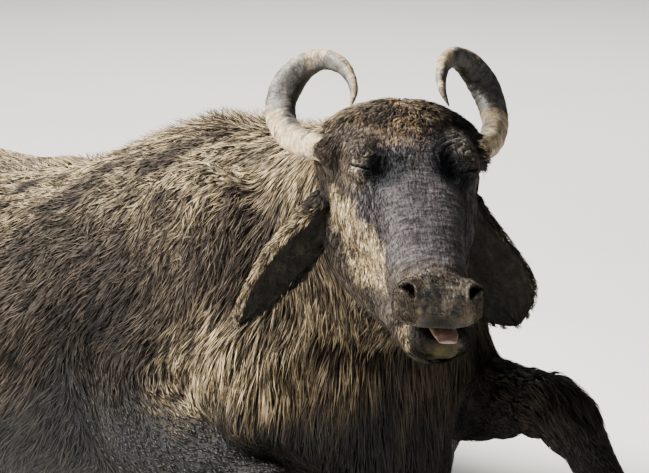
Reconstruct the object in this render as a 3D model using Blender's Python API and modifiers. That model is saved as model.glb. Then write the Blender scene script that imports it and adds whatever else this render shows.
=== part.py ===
"""A female river water buffalo lying on its breast, head turned to its right, life size.

Metres, +Z up, the floor at Z = 0. The animal faces -Y, so its right side is at -X.
The origin is on the flat under the breast, in the middle plane of the trunk.
"""

import math
import random

import bmesh
import bpy
import numpy as np
from mathutils import Matrix, Vector
from mathutils.bvhtree import BVHTree
from mathutils.kdtree import KDTree

# Seam and contact
GAP = 0.0003
TOUCHING = 0.000002
APART = 0.00004
FLOOR = 0.0

# The trunk, from the front of the breast to the seat bones
WITHERS_HEIGHT = 0.682
LOIN_HEIGHT = 0.540
RUMP_HEIGHT = 0.550
SHOULDER_HALF = 0.285
BELLY_HALF = 0.390
BREAST_FRONT = -0.30
SEAT_END = 1.19
SUNK = -0.02  # the belly's bulge is cut flat this far above its lowest point

# The head's own frame: u runs down the face from the poll, v to its left, w out of the forehead
POLL = Vector((-0.210, -0.510, 0.8165))
HEAD_YAW = math.radians(33)
HEAD_PITCH = math.radians(37)
HEAD_ROLL = math.radians(-4)
HEAD_LENGTH = 0.474
MUZZLE_HALF = 0.066

# Horns: u, v, w in the head's frame, half width in the plane of the curl, half depth across it
HORN = (
    (0.088, 0.090, -0.070, 0.019, 0.016),
    (0.075, 0.128, -0.070, 0.0205, 0.0170),
    (0.011, 0.155, -0.114, 0.0225, 0.0185),
    (-0.044, 0.169, -0.134, 0.0235, 0.0190),
    (-0.089, 0.168, -0.132, 0.0248, 0.0190),
    (-0.118, 0.153, -0.112, 0.0248, 0.0180),
    (-0.126, 0.129, -0.084, 0.0205, 0.0155),
    (-0.112, 0.104, -0.058, 0.0163, 0.0130),
    (-0.082, 0.083, -0.041, 0.0132, 0.0110),
    (-0.047, 0.072, -0.035, 0.0090, 0.0080),
    (-0.016, 0.070, -0.038, 0.0058, 0.0055),
    (0.007, 0.078, -0.049, 0.0012, 0.0012),
)
HORN_STATIONS = 30
HORN_SIDES = 8
HORN_SETTLE = 8  # stations over which the horn leaves the lean of the face
HORN_TURN_OUT = math.radians(25)
HORN_RIDGE = 0.035  # share of the half width
HORN_RIDGES = 13

# Ears: how far along, whole width, half opening angle of the cupped section in degrees
EAR_ROOT = (0.084, 0.104, -0.158)
EAR_SHAPE = (
    (0.00, 0.052, 112),
    (0.14, 0.076, 92),
    (0.30, 0.102, 72),
    (0.48, 0.114, 60),
    (0.66, 0.106, 52),
    (0.82, 0.078, 44),
    (0.93, 0.042, 40),
    (1.00, 0.012, 30),
)
EAR_STATIONS = 11
EAR_STEPS = 8
EAR_THICK = 0.007
# To the animal's left, forward and up: each ear's tip from its root, and the way its cup looks.
# Then how far its midrib bows outwards, and the power that moves its widest place towards the tip.
EARS = (
    ("ear_right", -1, (-0.132, -0.070, -0.222), (0.45, 0.75, -0.55), 0.012, 1.0),
    ("ear_left", 1, (0.123, -0.120, -0.232), (-0.05, 0.90, -0.20), -0.004, 1.4),
)

# Eyes, nostrils, mouth
EYE_RADIUS = 0.0185
LID = 0.0050
EYE_FROM = (0.162, 0.040, -0.080)
EYE_LOOK = (0.13, 0.60, 0.79)
SLIT = (0.0185, 0.0034, 0.010)  # half length, half height, half depth
SLIT_WAY = (0.62, -0.66, 0.42)
NOSTRIL = (0.431, 0.044, -0.014)
NOSTRIL_RADII = (0.0085, 0.0115, 0.0170)
# Where the mouth's wedge ends down the face, the level of its middle, and half its opening
MOUTH_BACK = (0.375, -0.1080, 0.0015)
MOUTH_FRONT = (0.500, -0.0617, 0.0221)
MOUTH_HALF = 0.075
TONGUE = (
    (0.385, 0.006, -0.1060, 0.016, 0.0030),
    (0.415, 0.010, -0.0960, 0.019, 0.0055),
    (0.440, 0.014, -0.0865, 0.020, 0.0070),
    (0.458, 0.017, -0.0835, 0.019, 0.0065),
    (0.470, 0.019, -0.0860, 0.013, 0.0035),
)

# Claws: along, half width, height above the sole's plane at the back and front
CLAW_LENGTH = 0.088
CLAW_HALF = 0.0215
CLAW_HEIGHT = 0.050
CLAW_APART = 0.0225
# Share of the claw's length, half width and height, and how far the middle draws in
CLAW_SHAPE = (
    (0.00, 0.88, 0.95, 0.00),
    (0.30, 1.00, 1.00, 0.00),
    (0.72, 0.88, 0.62, 0.16),
    (1.00, 0.34, 0.24, 0.55),
)
# Name, coronet, way the toe points, way the dorsal side faces
FEET = (
    ("hoof_fore_left", (0.144, -0.712, 0.0), (-0.05, -1.0, 0.0), (0, 0, 1)),
    ("hoof_fore_right", (-0.332, 0.020, 0.0), (-0.28, 1.0, 0.0), (0, 0, 1)),
    ("hoof_hind_left", (0.494, 0.745, 0.0), (0.14, -1.0, 0.0), (0, 0, 1)),
    ("hoof_hind_right", (-0.484, 0.710, 0.0), (-0.14, -1.0, 0.0), (0, 0, 1)),
)

# Mesh fineness
VOXEL = 0.006
SMOOTHING = 60
HEAD_SMOOTHING = 8
BODY_TRIANGLES = 1300
HEAD_TRIANGLES = 2350

# The coat's locks: length, half width, height of the tips over the skin, and the lowest root
TRUNK_LOCK = (0.185, 0.060, 0.022, 0.25)
NECK_LOCK = (0.165, 0.050, 0.024, 0.12)
BREAST_LOCK = (0.180, 0.046, 0.028, 0.10)
RUMP_LOCK = (0.170, 0.064, 0.016, 0.36)
# Along Y, how far back and how far down the hair points; on the breast it hangs straight down
LIE_AT = (-0.45, -0.20, 0.10, 0.60, 1.05)
LIE_BACK = (0.30, 0.35, 0.60, 0.80, 0.55)
LIE_DOWN = (0.95, 0.95, 0.80, 0.65, 0.85)
BREAST_TOP = 0.42
BREAST_FOOT = 0.15
# Share of the half width, and share of the tip's height at the edges and along the ridge
LOCK_ROWS = ((0.55, -0.36, -0.22), (1.0, -0.14, 0.50), (0.62, 0.40, 0.90))
# How far round from the top, in degrees, the rows of locks reach
TRUNK_MIDDLE = 0.30
TRUNK_TURN = 118
NECK_TURN = 178
FAN_TURN = 62
ROW_SHARE = 0.76  # of a lock's length, from one row to the next along the lie
SPACING_SHARE = 1.95  # of a lock's half width, from lock to lock across it
LOCK_TURN = 0.5
LOCK_WOBBLE = 0.25
LOCK_JITTER = 0.0008  # so that no two locks share a point
CLEAR = 0.035
ARM_SIDE = 0.13
ARM_REACH = (-0.50, 0.20)
ARM_TOP = 0.38
COAT_SEED = 12

# Where the body is divided: outlines in X and Y, and the lowest and highest Z
HEAD_BLOCK = ((0.012, -0.30), (0.60, -0.30), (0.60, 0.30), (0.012, 0.30))  # u and v
HEAD_BLOCK_W = (-0.285, 0.30)
FAR = 2.0
REACHING_LEG = (
    (0.165, 0.17),
    (0.150, -0.25),
    (0.095, -0.345),
    (-0.1, -0.36),
    (-0.1, -FAR),
    (FAR, -FAR),
    (FAR, 0.17),
)
FOLDED_LEG = ((-0.165, -0.40), (-0.165, 0.17), (-FAR, 0.17), (-FAR, -0.40))
THIGH_LEFT = ((0.27, 0.55), (FAR, 0.55), (FAR, 1.19), (0.27, 1.19))
THIGH_RIGHT = ((-0.27, 0.55), (-0.27, 1.19), (-FAR, 1.19), (-FAR, 0.55))
TAIL_END = ((-FAR, 1.20), (FAR, 1.20), (FAR, FAR), (-FAR, FAR))
NECK_FRONT = ((-FAR, -0.17), (-FAR, -FAR), (FAR, -FAR), (FAR, -0.17))
FORELEG_TOP = 0.335
HINDLEG_TOP = 0.36
BLOCKS = (
    ("foreleg_left", REACHING_LEG, -1, FORELEG_TOP),
    ("foreleg_right", FOLDED_LEG, -1, FORELEG_TOP),
    ("hindleg_left", THIGH_LEFT, -1, HINDLEG_TOP),
    ("hindleg_right", THIGH_RIGHT, -1, HINDLEG_TOP),
    ("tail", TAIL_END, -1, FAR),
    ("neck", NECK_FRONT, HINDLEG_TOP, FAR),
)

SKIN_DARK = (0.060, 0.048, 0.042, 1)
HORN_GREY = (0.36, 0.32, 0.25, 1)
WET_DARK = (0.05, 0.03, 0.03, 1)


def head_axes(roll):
    """The head's u, v and w directions as the columns of a matrix."""
    forward = Vector((-math.sin(HEAD_YAW), -math.cos(HEAD_YAW), 0))
    left = Vector((0, 0, 1)).cross(forward)
    down_face = forward * math.cos(HEAD_PITCH) - Vector((0, 0, 1)) * math.sin(HEAD_PITCH)
    out = forward * math.sin(HEAD_PITCH) + Vector((0, 0, 1)) * math.cos(HEAD_PITCH)
    tilt = Matrix.Rotation(roll, 3, down_face)
    return Matrix((down_face, tilt @ left, tilt @ out)).transposed()


HEAD = head_axes(HEAD_ROLL)
LEVEL_HEAD = head_axes(0)  # the horns curl evenly about this, although the face leans


def at_head(u, v, w):
    return POLL + HEAD @ Vector((u, v, w))


def clear_scene():
    for obj in list(bpy.data.objects):
        bpy.data.objects.remove(obj, do_unlink=True)


def material(name, colour, roughness):
    made = bpy.data.materials.new(name)
    made.use_nodes = True
    shader = made.node_tree.nodes["Principled BSDF"]
    shader.inputs["Base Color"].default_value = colour
    shader.inputs["Roughness"].default_value = roughness
    return made


def catmull(rows, count):
    """A smooth curve of count points through rows, each any number of values."""
    rows = np.array(rows, float)
    knots = np.concatenate([[2 * rows[0] - rows[1]], rows, [2 * rows[-1] - rows[-2]]])
    out = []
    for t in np.linspace(0, len(rows) - 1, count):
        i = min(int(t), len(rows) - 2)
        s = t - i
        a, b, c, d = knots[i : i + 4]
        out.append(0.5 * (2 * b + (c - a) * s + (2 * a - 5 * b + 4 * c - d) * s**2
                          + (3 * b - a - 3 * c + d) * s**3))
    return np.array(out)


def curve_power(value, power):
    return math.copysign(abs(value) ** (2 / power), value)


def ring(centre, side, up, half, top, bottom, top_power, bottom_power, sides):
    """One cross-section: a squared or peaked oval whose upper and lower halves differ."""
    points = []
    for k in range(sides):
        angle = 2 * math.pi * (k + 0.5) / sides
        c, s = math.cos(angle), math.sin(angle)
        power = top_power if s > 0 else bottom_power
        reach = top if s > 0 else bottom
        out = side * (half * curve_power(c, power)) + up * (reach * curve_power(s, power))
        points.append(centre + out)
    return points


def loft(name, rings):
    """A closed body through rings of equal point counts, with a point at the middle of each end."""
    mesh = bmesh.new()
    loops = [[mesh.verts.new(p) for p in one] for one in rings]
    sides = len(loops[0])
    for low, high in zip(loops, loops[1:]):
        for k in range(sides):
            n = (k + 1) % sides
            mesh.faces.new((low[k], low[n], high[n], high[k]))
    for loop in (loops[0], loops[-1]):
        middle = mesh.verts.new(sum((v.co for v in loop), Vector()) / sides)
        for k in range(sides):
            mesh.faces.new((loop[k], loop[(k + 1) % sides], middle))
    bmesh.ops.recalc_face_normals(mesh, faces=mesh.faces)
    return from_bmesh(name, mesh)


def from_bmesh(name, mesh):
    data = bpy.data.meshes.new(name)
    mesh.to_mesh(data)
    mesh.free()
    obj = bpy.data.objects.new(name, data)
    bpy.context.scene.collection.objects.link(obj)
    return obj


def as_cutter(obj):
    """Left out of renders, and drawn as wire, because it only shapes another body."""
    obj.hide_render = True
    obj.display_type = "WIRE"
    return obj


def framed_loft(name, rows, axes, origin, count, sides):
    """Rows of (along, shift, level, half width, top, bottom, top power, bottom power) along axes[0].

    level, top and bottom are heights on axes[2]: the widest level, the upper and the lower surface.
    """
    along, side, up = axes
    rings = []
    for a, shift, level, half, top, bottom, tp, bp in catmull(rows, count):
        centre = origin + along * a + side * shift + up * level
        rings.append(ring(centre, side, up, half, top - level, level - bottom, tp, bp, sides))
    return loft(name, rings)


def limb(name, rows, count, sides, hint=Vector((0, 0, 1))):
    """Rows of (x, y, z, half width, half height) along a bent path."""
    path = catmull(rows, count)
    rings = []
    for i, row in enumerate(path):
        ahead = Vector(path[min(i + 1, count - 1)][:3]) - Vector(path[max(i - 1, 0)][:3])
        side = ahead.cross(hint).normalized()
        up = side.cross(ahead).normalized()
        rings.append(ring(Vector(row[:3]), side, up, row[3], row[4], row[4], 2, 2, sides))
    return loft(name, rings)


def ball(name, centre, radii, axes=None, segments=24):
    """An ellipsoid with its three radii along axes, or along X, Y and Z."""
    mesh = bmesh.new()
    bmesh.ops.create_uvsphere(mesh, u_segments=segments, v_segments=segments // 2, radius=1)
    turn = (axes or Matrix.Identity(3)).to_4x4()
    place = Matrix.Translation(centre) @ turn @ Matrix.Diagonal((*radii, 1))
    bmesh.ops.transform(mesh, matrix=place, verts=mesh.verts)
    return from_bmesh(name, mesh)


# Along, side shift, widest level, half width, top, bottom, top power, bottom power
TRUNK = (
    (BREAST_FRONT, 0, 0.33, 0.115, 0.47, 0.15, 2.0, 2.0),
    (-0.27, 0, 0.31, 0.175, 0.555, 0.06, 2.0, 2.2),
    (-0.18, 0, 0.29, 0.235, 0.635, 0.0, 1.9, 2.4),
    (-0.06, 0, 0.28, 0.268, 0.676, SUNK, 1.8, 2.5),
    (0.06, 0, 0.28, SHOULDER_HALF, WITHERS_HEIGHT, SUNK, 1.75, 2.6),
    (0.18, 0, 0.28, 0.312, 0.675, SUNK, 1.8, 2.6),
    (0.30, 0, 0.27, 0.345, 0.636, SUNK, 1.85, 2.6),
    (0.42, 0, 0.265, 0.373, 0.585, SUNK, 1.9, 2.6),
    (0.56, 0, 0.26, BELLY_HALF, 0.553, SUNK, 1.95, 2.6),
    (0.70, 0, 0.26, 0.385, LOIN_HEIGHT, SUNK, 2.0, 2.6),
    (0.84, 0, 0.27, 0.350, 0.546, SUNK, 2.1, 2.5),
    (0.97, 0, 0.28, 0.295, RUMP_HEIGHT, 0.0, 2.2, 2.4),
    (1.08, 0, 0.29, 0.220, 0.515, 0.03, 2.2, 2.2),
    (1.15, 0, 0.29, 0.140, 0.455, 0.10, 2.1, 2.0),
    (SEAT_END, 0, 0.29, 0.060, 0.38, 0.19, 2.0, 2.0),
)

# X, Y, Z of the middle line, half width, half height
NECK = (
    (0.0, 0.08, 0.455, 0.190, 0.200),
    (-0.015, -0.06, 0.470, 0.178, 0.205),
    (-0.050, -0.19, 0.505, 0.156, 0.195),
    (-0.095, -0.30, 0.558, 0.136, 0.172),
    (-0.140, -0.39, 0.617, 0.121, 0.146),
    (-0.172, -0.45, 0.665, 0.112, 0.130),
)

# Down the face, shift, widest level, half width, face line, palate line, powers
SKULL = (
    (-0.035, 0, -0.150, 0.070, -0.115, -0.200, 2.0, 2.0),
    (-0.015, 0, -0.135, 0.102, -0.070, -0.225, 2.1, 2.0),
    (0.015, 0, -0.115, 0.120, -0.028, -0.235, 2.2, 2.0),
    (0.055, 0, -0.105, 0.124, -0.002, -0.235, 2.3, 2.1),
    (0.100, 0, -0.100, 0.118, 0.007, -0.230, 2.3, 2.2),
    (0.145, 0, -0.100, 0.110, 0.008, -0.215, 2.4, 2.3),
    (0.190, 0, -0.100, 0.104, 0.004, -0.195, 2.5, 2.3),
    (0.235, 0, -0.095, 0.092, 0.000, -0.175, 2.6, 2.3),
    (0.280, 0, -0.085, 0.077, -0.003, -0.155, 2.7, 2.3),
    (0.325, 0, -0.075, 0.065, -0.006, -0.137, 2.6, 2.3),
    (0.365, 0, -0.065, 0.059, -0.008, -0.120, 2.5, 2.3),
    (0.398, 0, -0.056, 0.060, -0.005, -0.108, 2.4, 2.2),
    (0.425, 0, -0.048, 0.066, -0.003, -0.090, 2.4, 2.1),
    (0.447, 0, -0.043, MUZZLE_HALF, -0.007, -0.076, 2.4, 2.1),
    (0.461, 0, -0.041, 0.058, -0.016, -0.068, 2.3, 2.0),
    (0.470, 0, -0.041, 0.043, -0.027, -0.060, 2.2, 2.0),
    (HEAD_LENGTH, 0, -0.041, 0.022, -0.035, -0.050, 2.0, 2.0),
)

JAW = (
    (0.035, 0, -0.190, 0.065, -0.14, -0.236, 2.0, 2.0),
    (0.080, 0, -0.185, 0.100, -0.12, -0.260, 2.0, 2.0),
    (0.130, 0, -0.178, 0.112, -0.11, -0.270, 2.0, 1.9),
    (0.180, 0, -0.172, 0.110, -0.11, -0.266, 2.0, 1.9),
    (0.225, 0, -0.168, 0.102, -0.11, -0.254, 2.0, 1.9),
    (0.270, 0, -0.164, 0.087, -0.11, -0.236, 2.0, 1.9),
    (0.315, 0, -0.158, 0.069, -0.112, -0.216, 2.0, 2.0),
    (0.360, 0.004, -0.150, 0.055, -0.112, -0.195, 2.0, 2.0),
    (0.400, 0.010, -0.138, 0.050, -0.104, -0.172, 2.2, 2.1),
    (0.430, 0.014, -0.125, 0.050, -0.092, -0.157, 2.4, 2.2),
    (0.450, 0.016, -0.116, 0.044, -0.086, -0.144, 2.3, 2.2),
    (0.463, 0.016, -0.108, 0.028, -0.090, -0.127, 2.0, 2.0),
)

# Spot in the head's frame at its left, reach along each axis, and the height of the swelling
HEAD_SWELLS = (
    ((0.126, 0.088, -0.004), (0.030, 0.032, 0.028), 0.014),  # brow over the eye
    ((0.162, 0.088, -0.020), (0.028, 0.026, 0.028), 0.015),  # eyelids
    ((0.160, 0.056, -0.002), (0.030, 0.019, 0.034), -0.010),  # hollow within the brow
    ((0.216, 0.098, -0.030), (0.026, 0.034, 0.028), -0.006),  # hollow before the eye
    ((0.275, 0.078, -0.050), (0.060, 0.026, 0.026), -0.007),  # side of the nose
    ((0.070, 0.125, -0.075), (0.034, 0.040, 0.036), 0.012),  # horn root
    ((0.112, 0.120, -0.095), (0.024, 0.030, 0.030), -0.006),  # temple
    ((0.210, 0.100, -0.100), (0.060, 0.040, 0.014), 0.005),  # cheek ridge
    ((0.428, 0.053, -0.014), (0.022, 0.022, 0.020), 0.012),  # nostril wing
    ((0.398, 0.046, -0.018), (0.016, 0.030, 0.022), -0.006),  # fold behind the nostril
    ((0.455, 0.000, -0.022), (0.022, 0.012, 0.026), -0.004),  # groove of the nose pad
    ((0.452, 0.046, -0.044), (0.018, 0.018, 0.012), 0.005),  # swelling under the nostril
    ((0.440, 0.048, -0.066), (0.026, 0.025, 0.010), 0.004),  # upper lip
    ((0.385, 0.060, -0.100), (0.030, 0.020, 0.018), 0.004),  # corner of the mouth
    ((0.440, 0.000, -0.150), (0.024, 0.035, 0.020), 0.003),  # chin
    ((0.050, 0.000, 0.000), (0.060, 0.060, 0.050), 0.008),  # crown
)

# Centre at the left side, and radii
BODY_BALLS = (
    ((0.185, 0.00, 0.440), (0.085, 0.17, 0.200)),  # shoulder blade
    ((0.200, -0.13, 0.290), (0.085, 0.13, 0.130)),  # point of the shoulder
    ((0.270, 0.86, 0.290), (0.115, 0.22, 0.210)),  # thigh
    ((0.320, 0.70, 0.200), (0.085, 0.13, 0.120)),  # stifle
    ((0.195, 0.83, 0.455), (0.100, 0.13, 0.068)),  # hip bone
    ((0.090, 1.12, 0.400), (0.065, 0.07, 0.065)),  # seat bone
)

# X, Y, Z, half width, half height down each leg
FORE_FOLDED = (
    (-0.225, 0.12, 0.31, 0.070, 0.110),
    (-0.262, 0.05, 0.215, 0.075, 0.095),
    (-0.268, -0.05, 0.165, 0.066, 0.074),
    (-0.250, -0.15, 0.130, 0.056, 0.060),
    (-0.235, -0.235, 0.108, 0.052, 0.058),
    (-0.228, -0.275, 0.098, 0.040, 0.046),
)
FORE_FOLDED_CANNON = (
    (-0.232, -0.272, 0.084, 0.042, 0.050),
    (-0.243, -0.215, 0.046, 0.036, 0.046),
    (-0.268, -0.120, 0.032, 0.031, 0.038),
    (-0.300, -0.045, 0.031, 0.037, 0.039),
    (-0.318, 0.000, 0.029, 0.032, 0.030),
    (-0.330, 0.030, 0.028, 0.020, 0.022),
)
FORE_REACHING = (
    (0.225, 0.03, 0.30, 0.080, 0.110),
    (0.250, -0.09, 0.230, 0.078, 0.095),
    (0.245, -0.21, 0.215, 0.068, 0.076),
    (0.218, -0.33, 0.228, 0.057, 0.060),
    (0.184, -0.43, 0.240, 0.053, 0.055),
    (0.164, -0.495, 0.236, 0.053, 0.057),
    (0.155, -0.550, 0.198, 0.043, 0.045),
    (0.150, -0.610, 0.142, 0.034, 0.036),
    (0.147, -0.660, 0.094, 0.038, 0.041),
    (0.145, -0.692, 0.062, 0.036, 0.036),
    (0.144, -0.715, 0.040, 0.024, 0.026),
)
HIND_SHANK = (
    (0.345, 0.68, 0.225, 0.085, 0.110),
    (0.385, 0.78, 0.195, 0.075, 0.095),
    (0.400, 0.89, 0.150, 0.060, 0.070),
    (0.402, 0.98, 0.112, 0.046, 0.060),
    (0.402, 1.02, 0.098, 0.038, 0.048),
)
HIND_CANNON = (
    (0.400, 1.020, 0.082, 0.040, 0.056),
    (0.415, 0.960, 0.046, 0.037, 0.048),
    (0.440, 0.860, 0.033, 0.031, 0.040),
    (0.462, 0.770, 0.031, 0.037, 0.039),
    (0.474, 0.725, 0.030, 0.033, 0.030),
    (0.482, 0.695, 0.028, 0.020, 0.022),
)
HIND_SHIFT = Vector((0.010, 0.035, 0))  # the left hind leg lies a little further back
TAIL = (
    (0.0, 1.08, 0.455, 0.050, 0.045),
    (0.0, 1.16, 0.450, 0.042, 0.038),
    (0.003, 1.225, 0.410, 0.034, 0.032),
    (0.012, 1.252, 0.320, 0.027, 0.026),
    (0.030, 1.260, 0.210, 0.023, 0.022),
    (0.060, 1.262, 0.110, 0.020, 0.020),
    (0.105, 1.262, 0.045, 0.019, 0.020),
    (0.170, 1.258, 0.022, 0.020, 0.022),
    (0.240, 1.248, 0.022, 0.027, 0.024),
    (0.305, 1.235, 0.018, 0.022, 0.020),
    (0.350, 1.222, 0.012, 0.008, 0.012),
)


def mirrored(rows):
    return [(-x, *rest) for x, *rest in rows]


def moved(rows, shift):
    return [(x + shift.x, y + shift.y, *rest) for x, y, *rest in rows]


def flesh_masses():
    """Every closed mass of the trunk, neck, head, legs and tail, before they are fused."""
    world = (Vector((0, 1, 0)), Vector((1, 0, 0)), Vector((0, 0, 1)))
    face = (HEAD.col[0], HEAD.col[1], HEAD.col[2])
    masses = [
        framed_loft("trunk", TRUNK, world, Vector(), 60, 48),
        limb("neck", NECK, 24, 40),
        framed_loft("skull", SKULL, face, POLL, 60, 48),
        framed_loft("jaw", JAW, face, POLL, 40, 32),
        limb("arm", FORE_FOLDED, 24, 20),
        limb("shin", FORE_FOLDED_CANNON, 24, 18),
        limb("arm", FORE_REACHING, 44, 20),
        limb("tail", TAIL, 60, 16),
    ]
    for rows in (HIND_SHANK, HIND_CANNON):
        masses.append(limb("hind", mirrored(rows), 24, 18))
        masses.append(limb("hind", moved(rows, HIND_SHIFT), 24, 18))
    for side in (1, -1):
        masses += [ball("mass", Vector((x * side, y, z)), radii) for (x, y, z), radii in BODY_BALLS]
    return masses


def join(name, objects):
    mesh = bmesh.new()
    for obj in objects:
        mesh.from_mesh(obj.data)
        bpy.data.objects.remove(obj, do_unlink=True)
    return from_bmesh(name, mesh)


def apply_modifiers(obj):
    graph = bpy.context.evaluated_depsgraph_get()
    mesh = bpy.data.meshes.new_from_object(obj.evaluated_get(graph))
    obj.modifiers.clear()
    obj.data = mesh
    return obj


def points_of(obj):
    found = np.empty(len(obj.data.vertices) * 3)
    obj.data.vertices.foreach_get("co", found)
    return found.reshape(-1, 3)


def set_points(obj, points):
    obj.data.vertices.foreach_set("co", points.ravel())
    obj.data.update()


def normals_of(obj):
    found = np.empty(len(obj.data.vertices) * 3)
    obj.data.vertex_normals.foreach_get("vector", found)
    return found.reshape(-1, 3)


def in_head_frame(points):
    return (points - np.array(POLL)) @ np.array(HEAD)


def on_head(points, edge=0.10):
    """0 on the neck and trunk, rising to 1 over the head."""
    u, v, w = in_head_frame(points).T
    ahead = np.clip((u - 0.0) / edge, 0, 1)
    above = np.clip((w + 0.36) / edge, 0, 1)
    return ahead * above * (np.abs(v) < 0.25)


def smooth_body(body, iterations, weights):
    group = body.vertex_groups.new(name="soft")
    for i, weight in enumerate(weights):
        group.add([i], float(weight), "REPLACE")
    smooth = body.modifiers.new("smooth", "SMOOTH")
    smooth.factor = 0.5
    smooth.iterations = iterations
    smooth.vertex_group = "soft"
    apply_modifiers(body)
    body.vertex_groups.clear()


def fuse(name, masses, voxel):
    """One skin round all the masses, with the creases between them smoothed."""
    body = join(name, masses)
    remesh = body.modifiers.new("fuse", "REMESH")
    remesh.mode = "VOXEL"
    remesh.voxel_size = voxel
    apply_modifiers(body)
    points = points_of(body)
    low = np.clip((points[:, 2] - 0.05) / 0.25, 0.2, 1)
    head = on_head(points)
    smooth_body(body, SMOOTHING, (1 - head) * low)
    smooth_body(body, HEAD_SMOOTHING, np.ones(len(points)))
    return body


def swell(body, swells):
    """Raises or sinks the head along its own normals by soft round swellings, on both sides."""
    points, normals = points_of(body), normals_of(body)
    local = in_head_frame(points)
    local[:, 1] = np.abs(local[:, 1])
    height = np.zeros(len(points))
    for spot, reach, amount in swells:
        height += amount * np.exp(-(((local - spot) / reach) ** 2).sum(axis=1))
    set_points(body, points + normals * (height * on_head(points, 0.02))[:, None])


def faults(mesh_data):
    """How many edges aren't shared by exactly two faces; an empty mesh counts as the worst."""
    mesh = bmesh.new()
    mesh.from_mesh(mesh_data)
    found = sum(not edge.is_manifold for edge in mesh.edges) if mesh.faces else math.inf
    mesh.free()
    return found


def boolean(obj, cutter, operation):
    """The manifold solver, and the exact one where that leaves an open edge."""
    before = obj.data
    results = []
    for solver in ("MANIFOLD", "EXACT"):
        obj.data = before
        cut = obj.modifiers.new(operation.lower(), "BOOLEAN")
        cut.operation = operation
        cut.object = cutter
        cut.solver = solver
        apply_modifiers(obj)
        results.append(obj.data)
        if faults(obj.data) == 0:
            return obj
    obj.data = min(results, key=faults)
    return obj


def prism(name, outline, low, high):
    """An upright block with the given outline in X and Y, anticlockwise from above."""
    mesh = bmesh.new()
    rows = [[mesh.verts.new((x, y, z)) for x, y in outline] for z in (low, high)]
    count = len(outline)
    mesh.faces.new(list(reversed(rows[0])))
    mesh.faces.new(rows[1])
    for k in range(count):
        n = (k + 1) % count
        mesh.faces.new((rows[0][k], rows[0][n], rows[1][n], rows[1][k]))
    bmesh.ops.recalc_face_normals(mesh, faces=mesh.faces)
    return as_cutter(from_bmesh(name, mesh))


def grown(outline, by):
    """The outline moved out by a small amount on every side."""
    count = len(outline)
    out = []
    for k in range(count):
        here = Vector(outline[k])
        before = (here - Vector(outline[k - 1])).normalized()
        after = (Vector(outline[(k + 1) % count]) - here).normalized()
        n1 = Vector((before.y, -before.x))
        n2 = Vector((after.y, -after.x))
        out.append(tuple(here + (n1 + n2) * (by / (1 + n1.dot(n2)))))
    return out


def copy_of(obj, name):
    made = obj.copy()
    made.data = obj.data.copy()
    made.name = name
    bpy.context.scene.collection.objects.link(made)
    return made


def drop(*objects):
    for obj in objects:
        bpy.data.objects.remove(obj, do_unlink=True)


def split(body, name, outline, low, high, place=None):
    """Takes the part of body inside a block off it, with a thin cut between the two."""
    inner = prism("inner", outline, low, high)
    outer = prism("outer", grown(outline, GAP), low - GAP, high + GAP)
    if place is not None:
        inner.data.transform(place)
        outer.data.transform(place)
    piece = boolean(copy_of(body, name), inner, "INTERSECT")
    boolean(body, outer, "DIFFERENCE")
    drop(inner, outer)
    return keep_largest(piece)


def keep_largest(obj):
    """Leaves only the largest closed surface."""
    mesh = bmesh.new()
    mesh.from_mesh(obj.data)
    unseen = set(mesh.verts)
    groups = []
    while unseen:
        stack = [unseen.pop()]
        group = set(stack)
        while stack:
            for edge in stack.pop().link_edges:
                for vertex in edge.verts:
                    if vertex in unseen:
                        unseen.discard(vertex)
                        group.add(vertex)
                        stack.append(vertex)
        groups.append(group)
    groups.sort(key=len)
    for group in groups[:-1]:
        bmesh.ops.delete(mesh, geom=list(group), context="VERTS")
    mesh.to_mesh(obj.data)
    mesh.free()
    obj.data.update()
    return obj


def thin_where(obj, chosen, triangles):
    """Fewer facets among the chosen points only, until the whole mesh holds this many triangles."""
    group = obj.vertex_groups.new(name="thin")
    group.add([int(i) for i in np.nonzero(chosen)[0]], 1.0, "REPLACE")
    obj.data.calc_loop_triangles()
    few = obj.modifiers.new("few", "DECIMATE")
    few.ratio = triangles / len(obj.data.loop_triangles)
    few.vertex_group = "thin"
    apply_modifiers(obj)
    obj.vertex_groups.clear()


def thin_body(obj, triangles):
    """Fewer facets everywhere but on the head, whose own count stays as it is."""
    body = on_head(points_of(obj), 0.03) < 0.01
    obj.data.calc_loop_triangles()
    body_share = sum(all(body[v] for v in t.vertices) for t in obj.data.loop_triangles)
    thin_where(obj, body, len(obj.data.loop_triangles) - body_share + triangles)


def thin_out(obj):
    """Fewer facets, leaving finer ones on the head."""
    thin_body(obj, BODY_TRIANGLES)
    thin_where(obj, on_head(points_of(obj), 0.03) >= 0.01, HEAD_TRIANGLES + BODY_TRIANGLES)


def lie_of_coat(spot):
    """The way the hair points: back and down on the trunk, down on the neck and in front."""
    back = float(np.interp(spot.y, LIE_AT, LIE_BACK))
    down = float(np.interp(spot.y, LIE_AT, LIE_DOWN))
    if spot.z < BREAST_TOP and spot.y < 0:
        back *= max(0, (spot.z - BREAST_FOOT) / (BREAST_TOP - BREAST_FOOT))
    return Vector((0, back, -down))


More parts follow.
